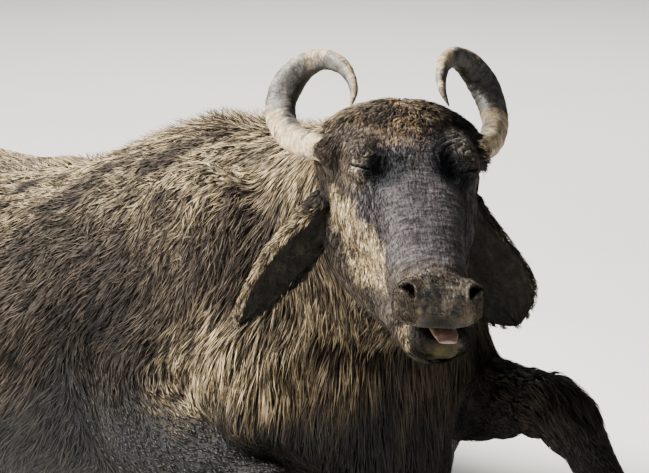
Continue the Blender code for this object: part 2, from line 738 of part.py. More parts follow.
def lock(tree, root, normal, size, draw):
    """A flat tapered lock, ridged along its middle, its root sunk in and its tip lifted."""
    length, half, rise = (value * (1 + LOCK_WOBBLE * (draw.random() - 0.5)) for value in size[:3])
    turn = Matrix.Rotation((draw.random() - 0.5) * LOCK_TURN, 3, normal)
    spot = Vector(root)
    mesh = bmesh.new()
    rows = []
    for width, edge_lift, lift in LOCK_ROWS:
        lie = turn @ lie_of_coat(spot)
        ahead = (lie - normal * lie.dot(normal)).normalized()
        side = ahead.cross(normal)
        row = []
        for way in (-1, 1):
            near, out, _, _ = tree.find_nearest(spot + side * (half * width * way))
            row.append(mesh.verts.new(near + out * (edge_lift * rise)))
        row.append(mesh.verts.new(spot + normal * (lift * rise)))
        rows.append(row)
        spot, normal, _, _ = tree.find_nearest(spot + ahead * length / 3)
    tip = mesh.verts.new(spot + normal * rise)
    for vertex in mesh.verts:
        vertex.co += Vector([LOCK_JITTER * (draw.random() - 0.5) for _ in range(3)])
    mesh.faces.new(rows[0])
    for k in range(3):
        n = (k + 1) % 3
        for low, high in zip(rows, rows[1:]):
            mesh.faces.new((low[k], low[n], high[n], high[k]))
        mesh.faces.new((rows[-1][k], rows[-1][n], tip))
    bmesh.ops.triangulate(mesh, faces=mesh.faces)
    bmesh.ops.recalc_face_normals(mesh, faces=mesh.faces)
    return as_cutter(from_bmesh("lock", mesh))


def roots_round(tree, centre, first, second, low, high, shift, spacing):
    """Even spots on the skin, met by rays from centre at angles low to high from first to second."""
    spots = []
    for angle in np.radians(np.arange(low, high + 0.1, 3)):
        way = first * math.cos(angle) + second * math.sin(angle)
        hit, normal, _, _ = tree.ray_cast(centre + way * 1.2, -way)
        if hit is not None and (hit - centre).dot(way) > 0:
            spots.append((hit, normal))
    found = []
    left = spacing * shift
    for (here, normal), (after, _) in zip(spots, spots[1:]):
        step = (after - here).length
        if step > 3 * spacing:
            continue
        while left < step:
            found.append((here.lerp(after, left / step), normal))
            left += spacing
        left -= step
    return found


def row_step(size):
    return size[0] * ROW_SHARE


def across_step(size):
    return size[1] * SPACING_SHARE


def trunk_rows(tree):
    side, up = Vector((1, 0, 0)), Vector((0, 0, 1))
    y, row = -0.16, 0
    while y < 1.08:
        size = TRUNK_LOCK if y < 0.72 else RUMP_LOCK
        shift = 0.5 * (row % 2)
        middle = Vector((0, y, TRUNK_MIDDLE))
        step = across_step(size)
        yield roots_round(tree, middle, up, side, -TRUNK_TURN, TRUNK_TURN, shift, step), size
        y += row_step(size)
        row += 1


def neck_rows(tree):
    up = Vector((0, 0, 1))
    neck = [Vector(row[:3]) for row in catmull(NECK, 48)]
    travel, row = 0, 0
    for before, here in zip(neck, neck[1:]):
        travel += (here - before).length
        if travel < row_step(NECK_LOCK) or here.y > -0.18:
            continue
        travel = 0
        row += 1
        ahead = (here - before).normalized()
        across = ahead.cross(up).normalized()
        over = across.cross(ahead)
        shift = 0.5 * (row % 2)
        step = across_step(NECK_LOCK)
        roots = roots_round(tree, here, over, across, -NECK_TURN, NECK_TURN, shift, step)
        yield roots, NECK_LOCK


def end_rows(tree, centre, way, heights, size):
    """Fans of roots over the breast or the rump, row under row."""
    side = Vector((1, 0, 0))
    for row, z in enumerate(heights):
        middle = Vector((0, centre, z))
        shift = 0.5 * (row % 2)
        step = across_step(size)
        yield roots_round(tree, middle, way, side, -FAN_TURN, FAN_TURN, shift, step), size


def lock_rows(tree):
    """Where every lock grows: rings round the trunk and neck, fans over the breast and rump."""
    front, back = Vector((0, -1, 0)), Vector((0, 1, 0))
    yield from trunk_rows(tree)
    yield from neck_rows(tree)
    yield from end_rows(tree, 0, front, (0.42, 0.30, 0.18), BREAST_LOCK)
    yield from end_rows(tree, 0.92, back, (0.44, 0.33, 0.22), RUMP_LOCK)


def tree_of(obj):
    mesh = bmesh.new()
    mesh.from_mesh(obj.data)
    tree = BVHTree.FromBMesh(mesh)
    mesh.free()
    return tree


def may_grow(root, lowest, ears):
    """No lock grows low down, on the face, on the forelegs or against an ear."""
    on_foreleg = abs(root.x) > ARM_SIDE and ARM_REACH[0] < root.y < ARM_REACH[1] and root.z < ARM_TOP
    on_face = on_head(np.array([root]), 0.04)[0] > 0.2
    clear = all(tree.find_nearest(root)[3] > CLEAR for tree in ears)
    return root.z >= lowest and clear and not on_foreleg and not on_face


def grow_coat(body, near):
    """Fuses the locks into the body they grow from."""
    tree = tree_of(body)
    locks = bpy.data.collections.new("locks")
    draw = random.Random(COAT_SEED)
    for spots, size in lock_rows(tree):
        for root, normal in spots:
            if not may_grow(root, size[3], near):
                continue
            made = lock(tree, root, normal, size, draw)
            bpy.context.scene.collection.objects.unlink(made)
            locks.objects.link(made)
    union = body.modifiers.new("coat", "BOOLEAN")
    union.operation = "UNION"
    union.operand_type = "COLLECTION"
    union.collection = locks
    union.solver = "EXACT"
    union.use_self = True
    apply_modifiers(body)
    drop(*list(locks.objects))
    bpy.data.collections.remove(locks)
    keep_largest(body)


def cut_floor(body):
    """One flat level underneath."""
    block = prism("above", [(-FAR, -FAR), (FAR, -FAR), (FAR, FAR), (-FAR, FAR)], FLOOR, FAR)
    boolean(body, block, "INTERSECT")
    drop(block)


def puffed(obj):
    """A copy of obj a seam's width larger on every side."""
    made = copy_of(obj, "puffed")
    set_points(made, points_of(made) + normals_of(made) * GAP * 1.3)
    return as_cutter(made)


def part_touching(obj):
    """Draws points that lie on one another, where two folds touch, a little into the solid."""
    points, normals = points_of(obj), normals_of(obj)
    tree = KDTree(len(points))
    for i, point in enumerate(points):
        tree.insert(point, i)
    tree.balance()
    touching = [i for i, point in enumerate(points) if len(tree.find_range(point, TOUCHING)) > 1]
    points[touching] -= normals[touching] * APART
    set_points(obj, points)


def trim(obj, neighbour):
    """Cuts obj back to a thin seam from its neighbour's surface."""
    cutter = puffed(neighbour)
    boolean(obj, cutter, "DIFFERENCE")
    boolean(obj, neighbour, "DIFFERENCE")
    drop(cutter)
    return keep_largest(obj)


def horn(name, side):
    facing = Vector((math.cos(HEAD_PITCH), 0, math.sin(HEAD_PITCH)))
    across = facing * math.cos(HORN_TURN_OUT) + Vector((0, side, 0)) * math.sin(HORN_TURN_OUT)
    path = catmull(HORN, HORN_STATIONS)
    middles = []
    for i, (u, v, w, *_) in enumerate(path):
        level = min(i / HORN_SETTLE, 1)
        spot = Vector((u, v * side, w))
        middles.append(POLL + (HEAD @ spot) * (1 - level) + (LEVEL_HEAD @ spot) * level)
    rings = []
    for i, (u, v, w, half, deep) in enumerate(path):
        ahead = middles[min(i + 1, HORN_STATIONS - 1)] - middles[max(i - 1, 0)]
        outward = ahead.cross(LEVEL_HEAD @ across).normalized()
        front = outward.cross(ahead).normalized()
        along = i / (HORN_STATIONS - 1)
        fade = max(0, 1 - along * 1.25)
        ridge = 1 + HORN_RIDGE * fade * math.sin(2 * math.pi * HORN_RIDGES * along)
        rings.append(ring(middles[i], outward, front, half * ridge,
                          deep * ridge, deep * ridge, 2.3, 2.3, HORN_SIDES))
    return loft(name, rings)


def ear(name, side, tip, looks, bow, fullness):
    """A leaf-shaped cup: arcs of one thickness about a midrib that hangs down and back."""
    forward = Vector((-math.sin(HEAD_YAW), -math.cos(HEAD_YAW), 0))
    left = Vector((0, 0, 1)).cross(forward)
    reach = left * tip[0] + forward * tip[1] + Vector((0, 0, tip[2]))
    face = (left * looks[0] + forward * looks[1] + Vector((0, 0, looks[2]))).normalized()
    root = at_head(EAR_ROOT[0], EAR_ROOT[1] * side, EAR_ROOT[2])
    bend = (left * side + Vector((0, 0, 0.7))).normalized() * bow
    knots = (root, root + reach * 0.3 + bend, root + reach * 0.65 + bend * 0.8, root + reach)
    spine = catmull(knots, EAR_STATIONS)
    shape = np.array(EAR_SHAPE)
    rings = []
    for i, middle in enumerate(spine):
        t = i / (EAR_STATIONS - 1)
        ahead = Vector(spine[min(i + 1, EAR_STATIONS - 1)] - spine[max(i - 1, 0)]).normalized()
        inner = (face - ahead * face.dot(ahead)).normalized()
        across = ahead.cross(inner)
        width = np.interp(t**fullness, shape[:, 0], shape[:, 1])
        spread = math.radians(np.interp(t**fullness, shape[:, 0], shape[:, 2]))
        radius = width / 2 / math.sin(min(spread, math.pi / 2))
        centre = Vector(middle) + inner * radius
        thick = EAR_THICK * (1 - 0.6 * t)
        points = []
        for r, turn in ((radius + thick / 2, 1), (radius - thick / 2, -1)):
            for k in range(EAR_STEPS):
                angle = spread * (2 * k / (EAR_STEPS - 1) - 1) * turn
                points.append(centre + (across * math.sin(angle) - inner * math.cos(angle)) * r)
        rings.append(points)
    return loft(name, rings)


def cut_eye(head, name, side):
    """An eyeball under almost closed lids."""
    look = (HEAD @ Vector((EYE_LOOK[0], EYE_LOOK[1] * side, EYE_LOOK[2]))).normalized()
    start = at_head(EYE_FROM[0], EYE_FROM[1] * side, EYE_FROM[2])
    skin = tree_of(head).ray_cast(start, look)[0]
    centre = skin - look * (EYE_RADIUS + LID)
    forward = (HEAD @ Vector((SLIT_WAY[0], SLIT_WAY[1] * side, SLIT_WAY[2]))).normalized()
    over = look.cross(forward).normalized()
    along = over.cross(look).normalized()
    axes = Matrix((along, over, look)).transposed()
    socket = ball("socket", centre, [EYE_RADIUS + GAP * 3] * 3, axes, 12)
    slit = ball("slit", skin, SLIT, axes, 12)
    for cutter in (socket, slit):
        boolean(head, as_cutter(cutter), "DIFFERENCE")
    drop(socket, slit)
    return ball(name, centre, [EYE_RADIUS] * 3, axes, 12)


def cut_nostril(head, side):
    u, v, w = NOSTRIL
    cutter = as_cutter(ball("nostril", at_head(u, v * side, w), NOSTRIL_RADII, HEAD, 12))
    boolean(head, cutter, "DIFFERENCE")
    drop(cutter)


def cut_mouth(head):
    """A wedge that opens toward the front."""
    mesh = bmesh.new()
    corners = []
    for u, level, half in (MOUTH_BACK, MOUTH_FRONT):
        for v, w in ((-1, -1), (1, -1), (1, 1), (-1, 1)):
            corners.append(mesh.verts.new(at_head(u, v * MOUTH_HALF, level + w * half)))
    mesh.faces.new(corners[:4])
    mesh.faces.new(corners[4:])
    for k in range(4):
        n = (k + 1) % 4
        mesh.faces.new((corners[k], corners[n], corners[4 + n], corners[4 + k]))
    bmesh.ops.recalc_face_normals(mesh, faces=mesh.faces)
    cutter = as_cutter(from_bmesh("mouth", mesh))
    boolean(head, cutter, "DIFFERENCE")
    drop(cutter)


def tongue(name):
    rings = []
    for u, v, w, half, thick in catmull(TONGUE, 6):
        middle = at_head(u, v, w)
        rings.append(ring(middle, HEAD.col[1], HEAD.col[2], half, thick, thick, 2.3, 2.3, 8))
    return loft(name, rings)


def claw(name, coronet, toe, dorsal, side):
    """One half of a cloven hoof, flat beneath."""
    toe, up = Vector(toe).normalized(), Vector(dorsal)
    across = toe.cross(up).normalized() * side
    rings = []
    for t, half, height, inward in CLAW_SHAPE:
        middle = Vector(coronet) + toe * (CLAW_LENGTH * t - 0.03)
        middle += across * (CLAW_APART * (1 + 0.25 * t) - CLAW_HALF * inward * 0.5)
        high = CLAW_HEIGHT * height
        rings.append(ring(middle + up * high * 0.35, across, up, CLAW_HALF * half * 0.98,
                          high * 0.65, high * 0.35, 2.0, 3.5, 7))
    return loft(name, rings)


def main():
    clear_scene()
    skin = material("skin", SKIN_DARK, 0.8)
    horny = material("horn", HORN_GREY, 0.6)
    wet = material("wet", WET_DARK, 0.25)
    body = fuse("torso", flesh_masses(), VOXEL)
    swell(body, HEAD_SWELLS)
    thin_out(body)
    ears = [ear(*row) for row in EARS]
    grow_coat(body, [tree_of(one) for one in ears])
    cut_floor(body)
    head_place = Matrix.Translation(POLL) @ HEAD.to_4x4()
    head = split(body, "head", HEAD_BLOCK, *HEAD_BLOCK_W, place=head_place)
    pieces = {"head": head}
    for name, outline, low, high in BLOCKS:
        pieces[name] = split(body, name, outline, low, high)
    pieces["torso"] = keep_largest(body)
    hard, moist = [], []
    for side, word in ((-1, "right"), (1, "left")):
        hard.append(trim(horn(f"horn_{word}", side), head))
        moist.append(cut_eye(head, f"eye_{word}", side))
        cut_nostril(head, side)
    for one in ears:
        pieces[one.name] = trim(trim(one, head), pieces["neck"])
    cut_mouth(head)
    moist.append(trim(tongue("tongue"), head))
    for name, coronet, toe, dorsal in FEET:
        leg = pieces[name.replace("hoof_fore", "foreleg").replace("hoof_hind", "hindleg")]
        for side, word in ((-1, "a"), (1, "b")):
            hard.append(trim(claw(f"{name}_{word}", coronet, toe, dorsal, side), leg))
    for group, look in ((pieces.values(), skin), (hard, horny), (moist, wet)):
        for piece in group:
            part_touching(piece)
            piece.data.materials.clear()
            piece.data.materials.append(look)


main()
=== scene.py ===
"""The looks of a resting water buffalo: one skin under a coat of mesh tufts, with horns, hooves,
eyes and tongue.

Metres, +Z up, the floor at Z = 0. The animal faces -Y, so its right side is at -X.
The skin grows from the same masses as the solids, and only the top of the left shoulder blade is
smoothed further here. The rest is placed from the head's own frame or from the solids.
"""

import math

import bmesh
import bpy
import numpy as np
from mathutils import Matrix, Vector
from mathutils.bvhtree import BVHTree

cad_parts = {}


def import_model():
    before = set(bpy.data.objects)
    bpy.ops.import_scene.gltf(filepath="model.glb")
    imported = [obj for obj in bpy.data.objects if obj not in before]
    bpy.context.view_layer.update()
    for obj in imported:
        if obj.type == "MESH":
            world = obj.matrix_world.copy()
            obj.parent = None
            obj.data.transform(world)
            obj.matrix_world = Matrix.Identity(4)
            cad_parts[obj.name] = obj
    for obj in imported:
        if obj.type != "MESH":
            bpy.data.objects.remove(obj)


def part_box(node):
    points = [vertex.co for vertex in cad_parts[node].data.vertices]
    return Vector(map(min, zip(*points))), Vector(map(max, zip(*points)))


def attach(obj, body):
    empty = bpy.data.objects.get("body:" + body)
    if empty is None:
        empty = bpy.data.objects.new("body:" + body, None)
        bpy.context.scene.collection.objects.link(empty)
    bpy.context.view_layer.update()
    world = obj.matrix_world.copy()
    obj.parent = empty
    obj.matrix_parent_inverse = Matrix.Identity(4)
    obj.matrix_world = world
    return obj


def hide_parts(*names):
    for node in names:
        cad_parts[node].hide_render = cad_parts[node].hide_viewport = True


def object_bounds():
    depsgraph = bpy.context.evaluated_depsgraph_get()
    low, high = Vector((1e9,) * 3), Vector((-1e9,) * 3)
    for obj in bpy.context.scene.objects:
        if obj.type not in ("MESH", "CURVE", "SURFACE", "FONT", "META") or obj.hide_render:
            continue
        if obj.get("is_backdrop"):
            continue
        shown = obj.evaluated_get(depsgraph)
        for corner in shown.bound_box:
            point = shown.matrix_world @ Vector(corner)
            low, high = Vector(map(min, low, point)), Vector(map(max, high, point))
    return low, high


UP = Vector((0, 0, 1))
BODY = "root"
FLOOR_RISE = 0.0004  # the skin's flat stands this far above the floor

# The trunk, from the front of the breast to the seat bones
WITHERS_HEIGHT = 0.682
LOIN_HEIGHT = 0.540
RUMP_HEIGHT = 0.550
SHOULDER_HALF = 0.285
BELLY_HALF = 0.390
BREAST_FRONT = -0.30
SEAT_END = 1.19
SUNK = -0.02  # the belly's bulge is cut flat this far above its lowest point

# The head's own frame: u runs down the face from the poll, v to its left, w out of the forehead
POLL = Vector((-0.210, -0.510, 0.8165))
HEAD_YAW = math.radians(33)
HEAD_PITCH = math.radians(37)
HEAD_ROLL = math.radians(-4)
HEAD_LENGTH = 0.474
MUZZLE_HALF = 0.066

# Horns: u, v, w in the head's frame, half width in the plane of the curl, half depth across it
HORN = (
    (0.088, 0.090, -0.070, 0.019, 0.016),
    (0.075, 0.128, -0.070, 0.0205, 0.0170),
    (0.011, 0.155, -0.114, 0.0225, 0.0185),
    (-0.044, 0.169, -0.134, 0.0235, 0.0190),
    (-0.089, 0.168, -0.132, 0.0248, 0.0190),
    (-0.118, 0.153, -0.112, 0.0248, 0.0180),
    (-0.126, 0.129, -0.084, 0.0205, 0.0155),
    (-0.112, 0.104, -0.058, 0.0163, 0.0130),
    (-0.082, 0.083, -0.041, 0.0132, 0.0110),
    (-0.047, 0.072, -0.035, 0.0090, 0.0080),
    (-0.016, 0.070, -0.038, 0.0058, 0.0055),
    (0.007, 0.078, -0.049, 0.0012, 0.0012),
)
HORN_ROOT = (0.104, 0.055, -0.078, 0.017, 0.015)  # out of sight within the head
HORN_STATIONS = 260
HORN_SIDES = 40
HORN_SETTLE = 8 / 29  # share of the horn over which it leaves the lean of the face
HORN_TURN_OUT = math.radians(25)
HORN_RIDGE = 0.022  # share of the half width
HORN_RIDGES = 26
HORN_WAY = (-0.35, 0.90, -0.25)  # the way the left horn's base points, in the head's frame

# Ears: how far along, whole width, half opening angle of the cupped section in degrees
EAR_ROOT = (0.084, 0.104, -0.158)
EAR_SHAPE = (
    (0.00, 0.052, 112),
    (0.14, 0.076, 92),
    (0.30, 0.102, 72),
    (0.48, 0.114, 60),
    (0.66, 0.106, 52),
    (0.82, 0.078, 44),
    (0.93, 0.042, 40),
    (1.00, 0.012, 30),
)
EAR_STATIONS = 60
EAR_STEPS = 30
EAR_THICK = 0.007
ROLL_FROM = 0.22  # where the rolled rim begins, as a share of the ear's half width
ROLL_DEPTH = 0.007
# To the animal's left, forward and up: each ear's tip from its root, and the way its cup looks.
# Then how far its midrib bows outwards, the power that moves its widest place towards the tip,
# and 1 where its upper rim is rolled in over the cup.
EARS = (
    ("right", -1, (-0.132, -0.070, -0.222), (0.45, 0.75, -0.55), 0.012, 1.0, 1),
    ("left", 1, (0.123, -0.120, -0.232), (-0.05, 0.90, -0.20), -0.004, 1.4, 0),
)

# Eyes, nostrils, mouth
EYE_RADIUS = 0.0185
LID_THICK = 0.0065
LID_ROUNDING = 0.9  # how far the lids follow the ball
EYE_LOOK = (0.13, 0.60, 0.79)
LID_LINE = (0.62, -0.66, 0.42)
LID_HALF = 0.019
FOLD_FAR = 0.034  # the folds round the eye fade out between these, along the lids
FOLD_NEAR = 0.016
# Heights across the closed lids: how much, how far over the slit, and how wide
SLIT_EDGES = (
    (-0.0075, 0.0, 0.0015),
    (0.0010, 0.0040, 0.0026),
    (0.0008, -0.0040, 0.0026),
)
LID_FOLDS = (
    (-0.0015, 0.0120, 0.0014),
    (0.0010, 0.0160, 0.0028),
    (-0.0011, 0.0215, 0.0016),
    (-0.0012, -0.0115, 0.0014),
    (0.0008, -0.0155, 0.0026),
    (-0.0009, -0.0200, 0.0016),
)
NOSTRIL = (0.431, 0.044, -0.014)
NOSTRIL_OPENS = (0.50, 0.55, 0.68)
NOSTRIL_LONG = (0.45, -0.85, -0.30)
NOSTRIL_DEPTH = 0.021
NOSTRIL_RIM = 0.0018
NOSTRIL_SLOT = 0.004  # the notch that runs out of its lower end
BROW_FOLD_LEFT = 0.0027
BROW_FOLD_RIGHT = 0.0014
HOLLOW = (0.190, 0.052, -0.008)  # by the left eye, towards the nose
HOLLOW_DEPTH = 0.008
MOUTH_BACK = 0.375
MOUTH_FRONT = 0.500
MOUTH_LEVEL_BACK = -0.1080
MOUTH_LEVEL_FRONT = -0.0617
MOUTH_GAP_BACK = 0.0015
MOUTH_GAP_FRONT = 0.0221
MOUTH_HALF = 0.075
TONGUE = (
    (0.385, 0.006, -0.1060, 0.016, 0.0030),
    (0.415, 0.010, -0.0960, 0.019, 0.0055),
    (0.440, 0.014, -0.0865, 0.020, 0.0070),
    (0.458, 0.017, -0.0835, 0.019, 0.0065),
    (0.470, 0.019, -0.0860, 0.013, 0.0035),
)

# Claws
CLAW_LENGTH = 0.088
CLAW_HALF = 0.0215
CLAW_HEIGHT = 0.050
CLAW_APART = 0.0225
# Share of the claw's length, half width and height, and how far the middle draws in
CLAW_SHAPE = (
    (0.00, 0.88, 0.95, 0.00),
    (0.30, 1.00, 1.00, 0.00),
    (0.72, 0.88, 0.62, 0.16),
    (1.00, 0.34, 0.24, 0.55),
)
# Name, coronet, way the toe points, way the dorsal side faces
FEET = (
    ("hoof_fore_left", (0.144, -0.712, 0.0), (-0.05, -1.0, 0.0), (0, 0, 1)),
    ("hoof_fore_right", (-0.332, 0.020, 0.0), (-0.28, 1.0, 0.0), (0, 0, 1)),
    ("hoof_hind_left", (0.494, 0.745, 0.0), (0.14, -1.0, 0.0), (0, 0, 1)),
    ("hoof_hind_right", (-0.484, 0.710, 0.0), (-0.14, -1.0, 0.0), (0, 0, 1)),
)

# The skin's mesh
VOXEL = 0.006
SMOOTHING = 60
BLADE_SMOOTHING = 160
BLADE_TOP = (0.200, 0.01, 0.600)  # of the left shoulder blade
BLADE_FAR = 0.20  # smoothed less and less from BLADE_NEAR out to here
BLADE_NEAR = 0.10
HEAD_SMOOTHING = 8
BODY_TRIANGLES = 60000
UNWRAP_TRIANGLES = 9000
SKIN_INSET = 0.004  # under the long coat

# The coat: how many tufts of each kind, over how many pieces
COAT_SEED = 7
LONG_TUFTS = 57000
LONG_PIECES = 5
SHORT_TUFTS = 56000
SHORT_PIECES = 3
PATCH = 0.003  # a tuft's patch on the OFBake map
CLUMP = 0.015  # tufts gather into locks about this far apart
# Share of the tuft's length, share of its half width and share of its thickness
LONG_ROWS = ((0.0, 0.75, 0.6), (0.33, 1.0, 1.0), (0.68, 0.62, 0.8))
SHORT_ROWS = ((0.0, 0.8, 0.7), (0.45, 1.0, 1.0))

# The camera stands where the photograph was taken from
PHOTO_WIDTH = 649
CAMERA_AZIMUTH = math.radians(-42)
CAMERA_HEIGHT = math.radians(9)
CAMERA_DISTANCE = 7.0
FRAME_WIDTH_AT_HEAD = 0.001555 * PHOTO_WIDTH
SENSOR = 36
POLL_RIGHT_OF_MIDDLE = 0.1205
POLL_ABOVE_MIDDLE = 0.243


def level_ways():
    """The way the head looks and the way to its left, both level."""
    forward = Vector((-math.sin(HEAD_YAW), -math.cos(HEAD_YAW), 0))
    return forward, UP.cross(forward)


def head_axes(roll):
    """The head's u, v and w directions as the columns of a matrix."""
    forward, left = level_ways()
    down_face = forward * math.cos(HEAD_PITCH) - UP * math.sin(HEAD_PITCH)
    out = forward * math.sin(HEAD_PITCH) + UP * math.cos(HEAD_PITCH)
    tilt = Matrix.Rotation(roll, 3, down_face)
    return Matrix((down_face, tilt @ left, tilt @ out)).transposed()


HEAD = head_axes(HEAD_ROLL)
LEVEL_HEAD = head_axes(0)  # the horns curl evenly about this, although the face leans


def at_head(u, v, w):
    return POLL + HEAD @ Vector((u, v, w))


def sided(row, side):
    """A place or direction given for the left, on the side asked for."""
    return Vector((row[0], row[1] * side, row[2]))


def catmull(rows, count):
    """A smooth curve of count points through rows, each any number of values."""
    rows = np.array(rows, float)
    knots = np.concatenate([[2 * rows[0] - rows[1]], rows, [2 * rows[-1] - rows[-2]]])
    out = []
    for t in np.linspace(0, len(rows) - 1, count):
        i = min(int(t), len(rows) - 2)
        s = t - i
        a, b, c, d = knots[i : i + 4]
        out.append(0.5 * (2 * b + (c - a) * s + (2 * a - 5 * b + 4 * c - d) * s**2
                          + (3 * b - a - 3 * c + d) * s**3))
    return np.array(out)


def curve_power(value, power):
    return math.copysign(abs(value) ** (2 / power), value)


def ring(centre, side, up, half, top, bottom, top_power, bottom_power, sides):
    """One cross-section: a squared or peaked oval whose upper and lower halves differ."""
    points = []
    for k in range(sides):
        angle = 2 * math.pi * (k + 0.5) / sides
        c, s = math.cos(angle), math.sin(angle)
        power = top_power if s > 0 else bottom_power
        reach = top if s > 0 else bottom
        out = side * (half * curve_power(c, power)) + up * (reach * curve_power(s, power))
        points.append(centre + out)
    return points


def loft(name, rings):
    """A closed body through rings of equal point counts, with a point at the middle of each end."""
    mesh = bmesh.new()
    loops = [[mesh.verts.new(p) for p in one] for one in rings]
    sides = len(loops[0])
    for low, high in zip(loops, loops[1:]):
        for k in range(sides):
            n = (k + 1) % sides
            mesh.faces.new((low[k], low[n], high[n], high[k]))
    for loop in (loops[0], loops[-1]):
        middle = mesh.verts.new(sum((v.co for v in loop), Vector()) / sides)
        for k in range(sides):
            mesh.faces.new((loop[k], loop[(k + 1) % sides], middle))
    bmesh.ops.recalc_face_normals(mesh, faces=mesh.faces)
    return from_bmesh(name, mesh)


def from_bmesh(name, mesh):
    data = bpy.data.meshes.new(name)
    mesh.to_mesh(data)
    mesh.free()
    obj = bpy.data.objects.new(name, data)
    bpy.context.scene.collection.objects.link(obj)
    return obj


def framed_loft(name, rows, axes, origin, count, sides):
    """Rows of (along, side shift, level, half width, top, bottom, top power, bottom power) along axes[0].

    level, top and bottom are heights on axes[2]: the widest level, the upper and the lower surface.
    """
    along, side, up = axes
    rings = []
    for a, shift, level, half, top, bottom, tp, bp in catmull(rows, count):
        centre = origin + along * a + side * shift + up * level
        rings.append(ring(centre, side, up, half, top - level, level - bottom, tp, bp, sides))
    return loft(name, rings)


def limb(name, rows, count, sides):
    """Rows of (x, y, z, half width, half height) along a bent path."""
    path = catmull(rows, count)
    rings = []
    for i, row in enumerate(path):
        ahead = Vector(path[min(i + 1, count - 1)][:3]) - Vector(path[max(i - 1, 0)][:3])
        side = ahead.cross(UP).normalized()
        up = side.cross(ahead).normalized()
        rings.append(ring(Vector(row[:3]), side, up, row[3], row[4], row[4], 2, 2, sides))
    return loft(name, rings)


def ball(name, centre, radii, segments=24):
    """An ellipsoid with its three radii along X, Y and Z."""
    mesh = bmesh.new()
    bmesh.ops.create_uvsphere(mesh, u_segments=segments, v_segments=segments // 2, radius=1)
    place = Matrix.Translation(centre) @ Matrix.Diagonal((*radii, 1))
    bmesh.ops.transform(mesh, matrix=place, verts=mesh.verts)
    return from_bmesh(name, mesh)


# Along, side shift, widest level, half width, top, bottom, top power, bottom power
TRUNK = (
    (BREAST_FRONT, 0, 0.33, 0.115, 0.47, 0.15, 2.0, 2.0),
    (-0.27, 0, 0.31, 0.175, 0.555, 0.06, 2.0, 2.2),
    (-0.18, 0, 0.29, 0.235, 0.635, 0.0, 1.9, 2.4),
    (-0.06, 0, 0.28, 0.268, 0.676, SUNK, 1.8, 2.5),
    (0.06, 0, 0.28, SHOULDER_HALF, WITHERS_HEIGHT, SUNK, 1.75, 2.6),
    (0.18, 0, 0.28, 0.312, 0.675, SUNK, 1.8, 2.6),
    (0.30, 0, 0.27, 0.345, 0.636, SUNK, 1.85, 2.6),
    (0.42, 0, 0.265, 0.373, 0.585, SUNK, 1.9, 2.6),
    (0.56, 0, 0.26, BELLY_HALF, 0.553, SUNK, 1.95, 2.6),
    (0.70, 0, 0.26, 0.385, LOIN_HEIGHT, SUNK, 2.0, 2.6),
    (0.84, 0, 0.27, 0.350, 0.546, SUNK, 2.1, 2.5),
    (0.97, 0, 0.28, 0.295, RUMP_HEIGHT, 0.0, 2.2, 2.4),
    (1.08, 0, 0.29, 0.220, 0.515, 0.03, 2.2, 2.2),
    (1.15, 0, 0.29, 0.140, 0.455, 0.10, 2.1, 2.0),
    (SEAT_END, 0, 0.29, 0.060, 0.38, 0.19, 2.0, 2.0),
)

# X, Y, Z of the middle line, half width, half height
NECK = (
    (0.0, 0.08, 0.455, 0.190, 0.200),
    (-0.015, -0.06, 0.470, 0.178, 0.205),
    (-0.050, -0.19, 0.505, 0.156, 0.195),
    (-0.095, -0.30, 0.558, 0.136, 0.172),
    (-0.140, -0.39, 0.617, 0.121, 0.146),
    (-0.172, -0.45, 0.665, 0.112, 0.130),
)

# Down the face, shift, widest level, half width, face line, palate line, powers
SKULL = (
    (-0.035, 0, -0.150, 0.070, -0.115, -0.200, 2.0, 2.0),
    (-0.015, 0, -0.135, 0.102, -0.070, -0.225, 2.1, 2.0),
    (0.015, 0, -0.115, 0.120, -0.028, -0.235, 2.2, 2.0),
    (0.055, 0, -0.105, 0.124, -0.002, -0.235, 2.3, 2.1),
    (0.100, 0, -0.100, 0.118, 0.007, -0.230, 2.3, 2.2),
    (0.145, 0, -0.100, 0.110, 0.008, -0.215, 2.4, 2.3),
    (0.190, 0, -0.100, 0.104, 0.004, -0.195, 2.5, 2.3),
    (0.235, 0, -0.095, 0.092, 0.000, -0.175, 2.6, 2.3),
    (0.280, 0, -0.085, 0.077, -0.003, -0.155, 2.7, 2.3),
    (0.325, 0, -0.075, 0.065, -0.006, -0.137, 2.6, 2.3),
    (0.365, 0, -0.065, 0.059, -0.008, -0.120, 2.5, 2.3),
    (0.398, 0, -0.056, 0.060, -0.005, -0.108, 2.4, 2.2),
    (0.425, 0, -0.048, 0.066, -0.003, -0.090, 2.4, 2.1),
    (0.447, 0, -0.043, MUZZLE_HALF, -0.007, -0.076, 2.4, 2.1),
    (0.461, 0, -0.041, 0.058, -0.016, -0.068, 2.3, 2.0),
    (0.470, 0, -0.041, 0.043, -0.027, -0.060, 2.2, 2.0),
    (HEAD_LENGTH, 0, -0.041, 0.022, -0.035, -0.050, 2.0, 2.0),
)

